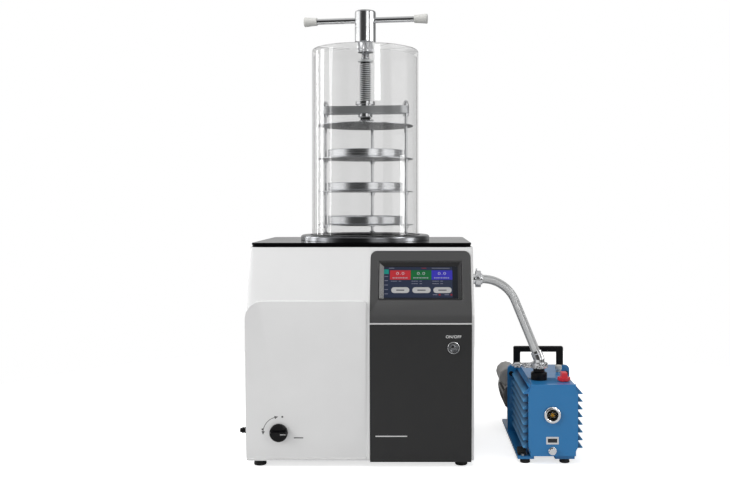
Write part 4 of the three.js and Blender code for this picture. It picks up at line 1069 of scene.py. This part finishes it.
# %% [markdown]
# Each shelf carries a spun tray, and the press plate slides on the rods above them. A shelf is
# a circle and three small ones filled together, which leaves the holes, and pulled to a
# thickness. The screw's nut sits in the crossbar.

# %% Shelves, trays and press plate
def drilled_disc(radius, holes, hole, bottom, top):
    """A disc with round holes, filled between its circles and pulled to a thickness."""
    bm = bmesh.new()
    bmesh.ops.create_circle(bm, segments=128, radius=radius)
    for x, y in holes:
        bmesh.ops.create_circle(bm, segments=20, radius=hole, matrix=Matrix.Translation((x, y, 0)))
    bmesh.ops.translate(bm, verts=bm.verts, vec=(0, 0, bottom))
    bmesh.ops.triangle_fill(bm, edges=bm.edges[:], use_beauty=True, use_dissolve=False,
                            normal=(0, 0, 1))
    return pulled_up(bm, top - bottom)


for level, height in enumerate(SHELF_HEIGHTS, 1):
    disc = drilled_disc(117, RACK_SPOTS.values(), 4.5, height - 1, height + 1)
    piece(f"shelf_{level}_plate", disc, spun_steel, stands_for=f"shelf_{level}",
          place=about(0, 0, 0, turn=RACK_TURN), edge=0.4)
    base = height + 1.3
    tray = spun([(0, base), (87, base), (89.8, base + 1.2), (91, base + 4), (91, base + 18.6),
                 (92, base + 19.2), (91.6, base + 20), (90.2, base + 20), (89.5, base + 19.2),
                 (89.5, base + 4.4), (88.6, base + 2.4), (86.6, base + 1.5), (0, base + 1.5)], 128)
    piece(f"tray_{level}_spun", tray, spun_steel, stands_for=f"tray_{level}")
disc = drilled_disc(117, RACK_SPOTS.values(), 4.5, 773, 775)
piece("press_plate_steel", disc, spun_steel, "press", "press_plate",
      place=about(0, 0, 0, turn=RACK_TURN), edge=0.4)
cup = spun([(0, 775.3), (16, 775.3), (16.5, 775.8), (16.5, 785.4), (14.5, 787.8), (10.4, 787.8),
            (10.4, 778.3), (0, 778.3)], 56)
piece("thrust_cup_steel", cup, mirror_steel, "press", "thrust_cup", edge=0.3)
refined("crossbar", dark_steel, 1.2, rounds=3)
nut = spun([(15, 796), (17.5, 796), (17.5, 822.3), (20, 822.3), (20, 825.8), (23.4, 826),
            (24, 826.6), (24, 833.4), (23.4, 834), (15, 834)], 56)
piece("screw_nut_steel", nut, mirror_steel, stands_for="screw_nut", edge=0.3)

# %% [markdown]
# ## Vacuum line
# Two flanged joints close the line, one at the cabinet's port and one on the pump. At the pump
# the hose ends in a leaning steel sleeve with a crimped bead, and a ball closes the corner
# between the sleeve and the upright tail.

# %% Port, sleeves and the pump's inlet
port = spun([(8, -21), (12, -21), (12, -17.7), (26.4, -17.7), (27, -17.1), (27, -15.6), (26.4, -15),
             (12, -15), (12, -3.7), (15, -2), (15, -0.15), (8, -0.15)], 56)
piece("vacuum_port_steel", port, mirror_steel, stands_for="vacuum_port",
      place=about(*PORT_PLACE, "right"), edge=0.2)
screw_heads("port_screws", [(20 * math.cos(a), 20 * math.sin(a)) for a in (0.5, 2.6, 4.7)], 2.4,
            zinc_plate, about(PORT_PLACE[0] - 15, *PORT_PLACE[1:], "right"))
FLANGE = [(8, 0.15), (15, 0.15), (15, 2), (12.8, 3.7)]
tail = spun([*FLANGE, (12.8, 9.6), (12.4, 10), (8, 10)], 56)
piece("port_tail_steel", tail, mirror_steel, stands_for="port_tail",
      place=about(*PORT_PLACE, "right"), edge=0.15)

knee = KNEE.z - INLET_PLACE[2]
tail = spun([*FLANGE, (12.8, knee - 0.5), (8, knee - 0.5)], 56)
bead = [(12.8 + 0.9 * math.sin(math.pi * k / 8), 9.5 + 0.25 * k) for k in range(9)]
crimped = [(8, -1), (12.8, -1), (12.8, 7), *bead, (12.8, SLEEVE - 0.5), (12.3, SLEEVE), (8, SLEEVE)]
lean = Vector((0, 0, 1)).rotation_difference(rise).to_matrix().to_4x4()
gathered(spun(crimped, 56), tail, Matrix.Translation((0, 0, knee)) @ lean)
ball = bmesh.new()
bmesh.ops.create_uvsphere(ball, u_segments=48, v_segments=24, radius=12.75,
                          matrix=Matrix.Translation((0, 0, knee - 0.6)))
gathered(ball, tail)
piece("inlet_tail_steel", tail, mirror_steel, stands_for="inlet_tail",
      place=about(*INLET_PLACE))
inlet = spun([(8, -32.7), (18.5, -32.7), (18.5, -17.4), (17.6, -16.2), (13, -14), (13, -8),
              (12, -8), (12, -3.7), (15, -2), (15, -0.15), (8, -0.15)], 56)
piece("pump_inlet_black", inlet, black_nylon, stands_for="pump_inlet",
      place=about(*INLET_PLACE), edge=0.4)

# %% [markdown]
# Each joint is held by a hinged clamp with a groove inside, a swinging bolt and a wing nut.
# Both clamps are the same casting, so one function draws them at two places.

# %% Hinged clamps
def hinged_clamp(name, place):
    """A clamp about its joint's axis: a grooved ring, its lugs, a bolt and a wing nut."""
    bm = bmesh.new()
    ring = [(13.2, -6.2), (18.8, -6.2), (19.5, -5.5), (19.5, 5.5), (18.8, 6.2), (13.2, 6.2),
            (13.2, 4.2), (15.6, 4.2), (15.6, -4.2), (13.2, -4.2)]
    spun(ring, 72, bm=bm)
    block(-36, -18.7, -7, -0.7, -5, 5, bm=bm)
    block(-36, -18.7, 0.7, 7, -5, 5, bm=bm)
    pin = spun([(0, -5.9), (2, -5.9), (2, 5.9), (0, 5.9)], 20)
    gathered(pin, bm, Matrix.Translation((18.4, 0, 0)))
    bolt = [(0, 30), (3.2, 30)]
    for start in range(38, 62, 2):
        bolt += [(3.2, start), (2.7, start + 0.5), (2.7, start + 1), (3.2, start + 1.5)]
    sideways = Matrix.Rotation(math.radians(-90), 4, "Y")
    gathered(spun([*bolt, (3.2, 61.4), (2.6, 62), (0, 62)], 24), bm, sideways)
    nut = spun([(0, 44), (6.6, 44), (7, 44.6), (6, 55.4), (5.4, 56), (0, 56)], 32)
    gathered(nut, bm, sideways)
    for side in (1, -1):
        wing = plate([(-3, 0), (3, 0), (6, 17), (-5, 17)], -1.5, 1.5, 3, 5)
        turn = Matrix.Rotation(0 if side > 0 else math.pi, 4, "X")
        gathered(wing, bm, turn @ Matrix.Translation((-50, 4, 0)))
    return piece(f"{name}_polished", bm, cast_steel, stands_for=name,
                 place=place, edge=0.5, rounds=2)


hinged_clamp("port_clamp", about(*PORT_PLACE, "right", turn=180))
hinged_clamp("inlet_clamp", about(*INLET_PLACE))

# %% [markdown]
# ## Pump
# The oil case is cast with cooling fins and closed by a flat cover in front. Behind the rear plate
# stands the motor with its ribs and fan cover. Shade is painted into the enamel. It is painted
# darker towards the foot of the fins and on and between the motor's ribs, as painted shade for the
# deep gaps, and paler at the fins' outer edges as a painted highlight.

# %% Case with its fins
FINS = {"foot": 55.5, "lip": 67, "front": -199, "back": 37, "bottom": 32}
PUMP_FEET_TOP = 10.6
blue_fins = grain(finish("enamel_blue_fins_painted_shade", "2677B2", 0.45, Specular_IOR_Level=0.12),
                  4, 0.06, (0.4, 0.5), "2A7AB4")
tree = blue_fins.node_tree
place = add_node(tree, "TexCoord").outputs["Object"]
across = add_node(tree, "SeparateXYZ", {"Vector": place}).outputs["X"]
from_middle = add_node(tree, "Math", {0: across, 1: at(PUMP_X, 0, 0).x}, operation="SUBTRACT")
aside = add_node(tree, "Math", {0: from_middle.outputs["Value"]}, operation="ABSOLUTE")
to_lips = add_node(tree, "MapRange", {
    "Value": aside.outputs["Value"], "From Min": FINS["foot"] * MM, "From Max": FINS["lip"] * MM})
# Painted shade and painted highlight: the fins' enamel is painted dark at their foot, for the
# shadow in the deep gaps, and pale at their outer edges, for the light that falls there.
painted_fin_shade = add_node(tree, "Mix", {
    "Factor": to_lips.outputs["Result"], 6: linear("0A3053"), 7: linear("569ACC")},
    data_type="RGBA")
tree.links.new(painted_fin_shade.outputs[2], tree.nodes["Principled BSDF"].inputs["Base Color"])
case = refined("pump_body", [blue_enamel, nitrile, blue_fins], 1.1, rounds=3)
for face in case.data.polygons:
    x, y, z = (face.center - chamber) / MM
    beside = abs(x - PUMP_X) > FINS["foot"] + 0.2 and z > FINS["bottom"]
    if z < PUMP_FEET_TOP:
        face.material_index = 1
    elif beside and FINS["front"] < y < FINS["back"]:
        face.material_index = 2

# %% Motor and handle
RIBS = {"x": -26, "z": 98, "inner": 58.6, "front": 60.5, "back": 177}
CAN = {"x": -69, "z": 143, "radius": 25.2}
# Painted shade: the motor's ribbed part is painted in two darker greys of its own grey enamel,
# nearly black between the ribs and mid grey on them, for the shadow that falls there.
painted_shade_between_ribs = grain(finish("enamel_grey_painted_shade_between_ribs", "1E1D1C", 0.7), 4, 0.06, (0.6, 0.8), "262423")
painted_shade_on_ribs = grain(finish("enamel_grey_painted_shade_on_ribs", "5C5A58", 0.5), 4, 0.06, (0.45, 0.55), "54524F")
motor = refined("pump_motor", [grey_enamel, painted_shade_between_ribs, painted_shade_on_ribs], 0.8)
for face in motor.data.polygons:
    x, y, z = (face.center - chamber) / MM
    from_can = math.hypot(x - PUMP_X - CAN["x"], z - CAN["z"])
    from_axle = math.hypot(x - PUMP_X - RIBS["x"], z - RIBS["z"])
    if y < RIBS["back"] and from_can > CAN["radius"]:
        face.material_index = 1 if y > RIBS["front"] and from_axle < RIBS["inner"] else 2
refined("pump_handle", black_nylon, 1.2, rounds=4)

mount = block(-76, -58, -180, -158, 16.3, 30)
piece("pump_mount_block", mount, nitrile, place=about(PUMP_X, 0, 0), edge=0.8)
piece("pump_mount_bolt", plate(hexagon(4.2), 16.3, 20.5), zinc_plate,
      place=about(PUMP_X - 66, -185.5, 0), edge=0.4)

# %% [markdown]
# The sight glass shows the oil's height: a polished rim, a lens, and a brass star before the
# dark oil. The lens has a low index of refraction, as the acrylic has, so that the star stands
# almost unbent. The red cap closes the filler, and the small knob behind it is the gas ballast.

# %% Sight glass
GLASS_PLACE = seated("sight_glass", "front")
bezel = spun([(12.9, 0.4), (18, 0), (18.5, 0.5), (18.5, 3.2), (17.4, 4.6), (16.5, 5), (13.5, 5),
              (12.9, 4.4)], 64)
piece("sight_glass_rim", bezel, mirror_steel, stands_for="sight_glass",
      place=GLASS_PLACE)
washer = spun([(7.2, 1.6), (12.7, 1.6), (12.7, 2.9), (7.6, 2.9)], 48)
piece("sight_glass_washer", washer, black_nylon, place=GLASS_PLACE)
oil = grain(finish("vacuum_oil_behind_glass", "1C150C", 0.25), 6, 0.01, (0.2, 0.3), "2A1E10")
back = spun([(0, 0), (12.8, 0), (12.8, 0.8), (0, 0.8)], 48)
piece("sight_glass_oil", back, oil, place=GLASS_PLACE)
points = [((6.8 if k % 2 else 3), math.pi * k / 5) for k in range(10)]
star = [(reach * math.sin(angle), reach * math.cos(angle)) for reach, angle in points]
piece("sight_glass_star", plate(star, 0.8, 1.4), brass,
      place=GLASS_PLACE, edge=0.2)
lens = spun([(0, 3), (12.8, 3), (12.8, 3.4), (9, 4.1), (4, 4.5), (0, 4.6)], 48)
piece("sight_glass_lens", lens, lens_glass, place=GLASS_PLACE)

# %% Plug, filler cap and ballast valve
plug = spun([(0, 0), (8.4, 0), (9, 0.6), (9, 2.4), (8.4, 3), (0, 3)], 48)
plate(hexagon(7.9), 2.9, 8, bm=plug)
piece("drain_plug_hex", plug, mirror_steel, "drain", "drain_plug",
      place=seated("drain_plug", "front"), edge=0.7)
filler = spun([(0, 0), (11, 0), (11, 4), (0, 4)], 40)
flutes = []
for angle in (math.tau * k / 120 for k in range(120)):
    reach = 13.7 + 0.8 * math.cos(10 * angle)
    flutes.append((reach * math.cos(angle), reach * math.sin(angle)))
plate(flutes, 2, 9, bm=filler)
block(-6.5, 6.5, -12, 12, 8.6, 20, bm=filler)
piece("filler_cap_fluted", filler, red_plastic, "filler", "filler_cap",
      place=seated("filler_cap"), edge=0.7, rounds=3)
valve = spun([(0, 0), (6, 0), (6, 5), (8, 6), (8, 7), (7.6, 7.4), (8, 7.8), (8, 13.6), (7, 15.4),
              (6, 16), (0, 16)], 40)
piece("ballast_valve_turned", valve, pale_plastic, "ballast", "ballast_valve",
      place=seated("ballast_valve"), edge=0.3)

# %% Screws and plates on the pump
REAR_FACE = about(PUMP_X, 37.9, 0, "front")
COVER_FACE = about(PUMP_X, span("pump_body")[0].y, 0, "front")


def socket_screws(name, places, radius, made_of, place):
    """Cylinder heads with a hexagonal socket, one at each place."""
    bm = bmesh.new()
    for x, y in places:
        head = spun([(0, 0), (radius, 0), (radius, radius * 0.9), (radius * 0.9, radius),
                     (radius * 0.55, radius), (radius * 0.5, radius * 0.4), (0, radius * 0.4)], 24)
        gathered(head, bm, Matrix.Translation((x, y, 0)))
    return piece(name, bm, made_of, place=place)


socket_screws("rear_plate_screws", [(-68, 160), (69, 161)], 5.6, black_nylon,
              REAR_FACE)
LABEL_PLACE = COVER_FACE @ Matrix.Translation((-2, 55, 0))
piece("pump_label", plate(box_outline(14, 8.4), 0, 0.4, 1.2, 3), print_white,
      place=LABEL_PLACE, edge=0.1)
piece("pump_label_field", plate(box_outline(10.5, 4.4), 0.4, 0.5, 0.6, 2), display_glass,
      place=LABEL_PLACE)

# %% [markdown]
# ## Light, room and floor
# The dryer stands in a white room. Polished steel shows what it mirrors, so bright walls with
# dark gaps stand round it, and those gaps draw the dark upright bands on every turned fitting.
# WALLS gives the walls as pairs of a bearing in degrees and a brightness, where zero faces the
# machine's front and more is to its left. BAND gives pairs of an elevation and a share, which
# fades the walls above and below what the rack mirrors, and CEILING adds a paler part higher
# up. A ray straight from the camera sees plain white instead.

# %% The room
scene = bpy.context.scene
scene.view_settings.view_transform = "Standard"
world = bpy.data.worlds.new("white_room")
world.use_nodes = True
scene.world = world
ROOM = 0.32
WALLS = [(-180, 0.55), (-146, 0.5), (-134, 0.2), (-108, 0.25), (-98, 1.3), (-62, 1.5),
         (-55, 0.3), (-44, 0.3), (-37, 1.5), (-16, 1.4), (-9, 0.07), (40, 0.06), (54, 0.3),
         (68, 1.3), (100, 1.5), (118, 1.2), (134, 0.6), (180, 0.55)]
BAND = [(-90, 0.1), (-20, 0.15), (-3.5, 0.2), (-1.5, 1.0), (24, 1.0), (32, 0.3), (90, 0.3)]
CEILING = [(-90, 0.0), (32, 0.0), (44, 0.55), (80, 0.55), (90, 0.3)]
tree = world.node_tree
ray = add_node(tree, "LightPath").outputs
seen = add_node(tree, "NewGeometry").outputs["Incoming"]
way = add_node(tree, "SeparateXYZ", {"Vector": seen}).outputs


def level_by(angle, limit, stops):
    """A brightness read from a ramp by an angle, whose stops are given in degrees."""
    share = add_node(tree, "MapRange", {
        "Value": angle, "From Min": -math.radians(limit), "From Max": math.radians(limit)})
    ramp = add_node(tree, "ValToRGB", {"Fac": share.outputs["Result"]})
    marks = ramp.color_ramp.elements
    marks.remove(marks[1])
    for number, (degrees, level) in enumerate(stops):
        position = (degrees + limit) / (2 * limit)
        mark = marks[0] if number == 0 else marks.new(position)
        mark.position, mark.color = position, (level, level, level, 1)
    return ramp.outputs["Color"]


def looked_at(tree, ray):
    """One for a ray straight from the camera, also through something clear, and else zero."""
    either = add_node(tree, "Math", {0: ray["Is Camera Ray"], 1: ray["Is Transmission Ray"]},
                      operation="MAXIMUM")
    return either.outputs["Value"]


bearing = add_node(tree, "Math", {0: way["X"], 1: way["Y"]}, operation="ARCTAN2")
upward = add_node(tree, "Math", {0: way["Z"], 1: -1.0}, operation="MULTIPLY")
rising = add_node(tree, "Math", {0: upward.outputs["Value"]}, operation="ARCSINE")
banded = add_node(tree, "Mix", {
    "Factor": 1.0, 6: level_by(bearing.outputs["Value"], 180, WALLS),
    7: level_by(rising.outputs["Value"], 90, BAND)}, data_type="RGBA", blend_type="MULTIPLY")
walls = add_node(tree, "Mix", {
    "Factor": 1.0, 6: banded.outputs[2], 7: level_by(rising.outputs["Value"], 90, CEILING)},
    data_type="RGBA", blend_type="ADD")
mirrored = add_node(tree, "Math", {0: ray["Is Glossy Ray"], 1: ray["Glossy Depth"]},
                    operation="MULTIPLY")
straight = add_node(tree, "Math", {0: looked_at(tree, ray), 1: mirrored.outputs["Value"]},
                    operation="SUBTRACT")
clear = add_node(tree, "Math", {0: straight.outputs["Value"], 1: ray["Diffuse Depth"]},
                 operation="SUBTRACT")
soft = add_node(tree, "Mix", {
    "Factor": ray["Diffuse Depth"], 6: walls.outputs[2], 7: (ROOM, ROOM, ROOM, 1)},
    data_type="RGBA")
whole = add_node(tree, "Mix", {
    "Factor": clear.outputs["Value"], 6: soft.outputs[2], 7: (1, 1, 1, 1)}, data_type="RGBA")
tree.links.new(whole.outputs[2], tree.nodes["Background"].inputs["Color"])

# %% [markdown]
# Matt surfaces are lit evenly from a large box on each side and one above. These three only
# light and are never mirrored. Six panels are only mirrored: they leave the crisp streaks down
# the acrylic and on the screen's frame.

# %% Soft boxes
def softbox(name, place, aim, width, height, power, mirrored=True):
    """A rectangular lamp at a place, turned towards another, both in mm."""
    lamp = bpy.data.lights.new(name, "AREA")
    lamp.shape = "RECTANGLE"
    lamp.size, lamp.size_y = width, height
    lamp.energy = power
    made = bpy.data.objects.new(name, lamp)
    made.location = at(*place)
    towards = at(*aim) - made.location
    made.rotation_euler = towards.to_track_quat("-Z", "Y").to_euler()
    made.visible_glossy = mirrored
    made.visible_diffuse = not mirrored
    made.visible_transmission = False
    scene.collection.objects.link(made)


softbox("box_left", (-2350, -1350, 1400), (50, 0, 450), 1.4, 1.8, 44, mirrored=False)
softbox("box_right", (2100, -1500, 1300), (100, 0, 450), 1.2, 1.6, 9, mirrored=False)
softbox("box_above", (0, -600, 2500), (60, 0, 500), 1.8, 1.4, 20, mirrored=False)
softbox("panel_left_far", (-1399, 776, 830), (0, 0, 830), 0.2, 0.75, 3.6)
softbox("panel_left", (-1584, 223, 830), (0, 0, 830), 0.36, 0.75, 6)
softbox("panel_left_near", (-1530, -468, 830), (0, 0, 830), 0.3, 0.75, 3.2)
softbox("panel_front", (720, -1420, 1107), (0, 0, 1107), 0.34, 0.24, 2.2)
softbox("panel_high", (1413, -525, 1400), (133, -235, 412), 0.45, 0.4, 5.5)
softbox("panel_low", (1590, -100, 617), (0, 0, 617), 0.42, 0.32, 2.6)
print("lamps:", len(bpy.data.lights))

# %% [markdown]
# The floor is a sheet of white paper. It takes the soft shadow under the feet, and a glow that
# only the camera sees lifts the rest to the white of the room.

# %% Floor
floor_mesh = bpy.data.meshes.new("studio_floor")
bm = bmesh.new()
bmesh.ops.create_circle(bm, segments=96, radius=1.5, cap_ends=True)
bm.to_mesh(floor_mesh)
bm.free()
floor = bpy.data.objects.new("studio_floor", floor_mesh)
scene.collection.objects.link(floor)
paper = finish("studio_paper", "FFFFFF", 0.9)
tree = paper.node_tree
place = add_node(tree, "TexCoord").outputs["Object"]
fibres = add_node(tree, "TexNoise", {"Vector": place, "Scale": 900.0}).outputs["Fac"]
tone = add_node(tree, "Mix", {"Factor": fibres, 6: linear("E8E8E8"), 7: linear("ECECEC")},
                data_type="RGBA")
matt = add_node(tree, "BsdfDiffuse", {"Color": tone.outputs[2]})
bright = add_node(tree, "Emission", {"Color": (1, 1, 1, 1), "Strength": 0.7})
lifted = add_node(tree, "AddShader", {0: matt.outputs["BSDF"], 1: bright.outputs["Emission"]})
seen = looked_at(tree, add_node(tree, "LightPath").outputs)
both = add_node(tree, "MixShader", {0: seen, 1: matt.outputs["BSDF"], 2: lifted.outputs["Shader"]})
tree.links.new(both.outputs["Shader"], tree.nodes["Material Output"].inputs["Surface"])
floor_mesh.materials.append(paper)
floor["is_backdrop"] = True

# %% [markdown]
# ## The finished size
# The visible surfaces must keep the solids' own size, so the bounds after dressing are printed.

# %% Bounds and finish
low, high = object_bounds()
print("dressed size in mm:", [round((b - a) / MM, 1) for a, b in zip(low, high)])
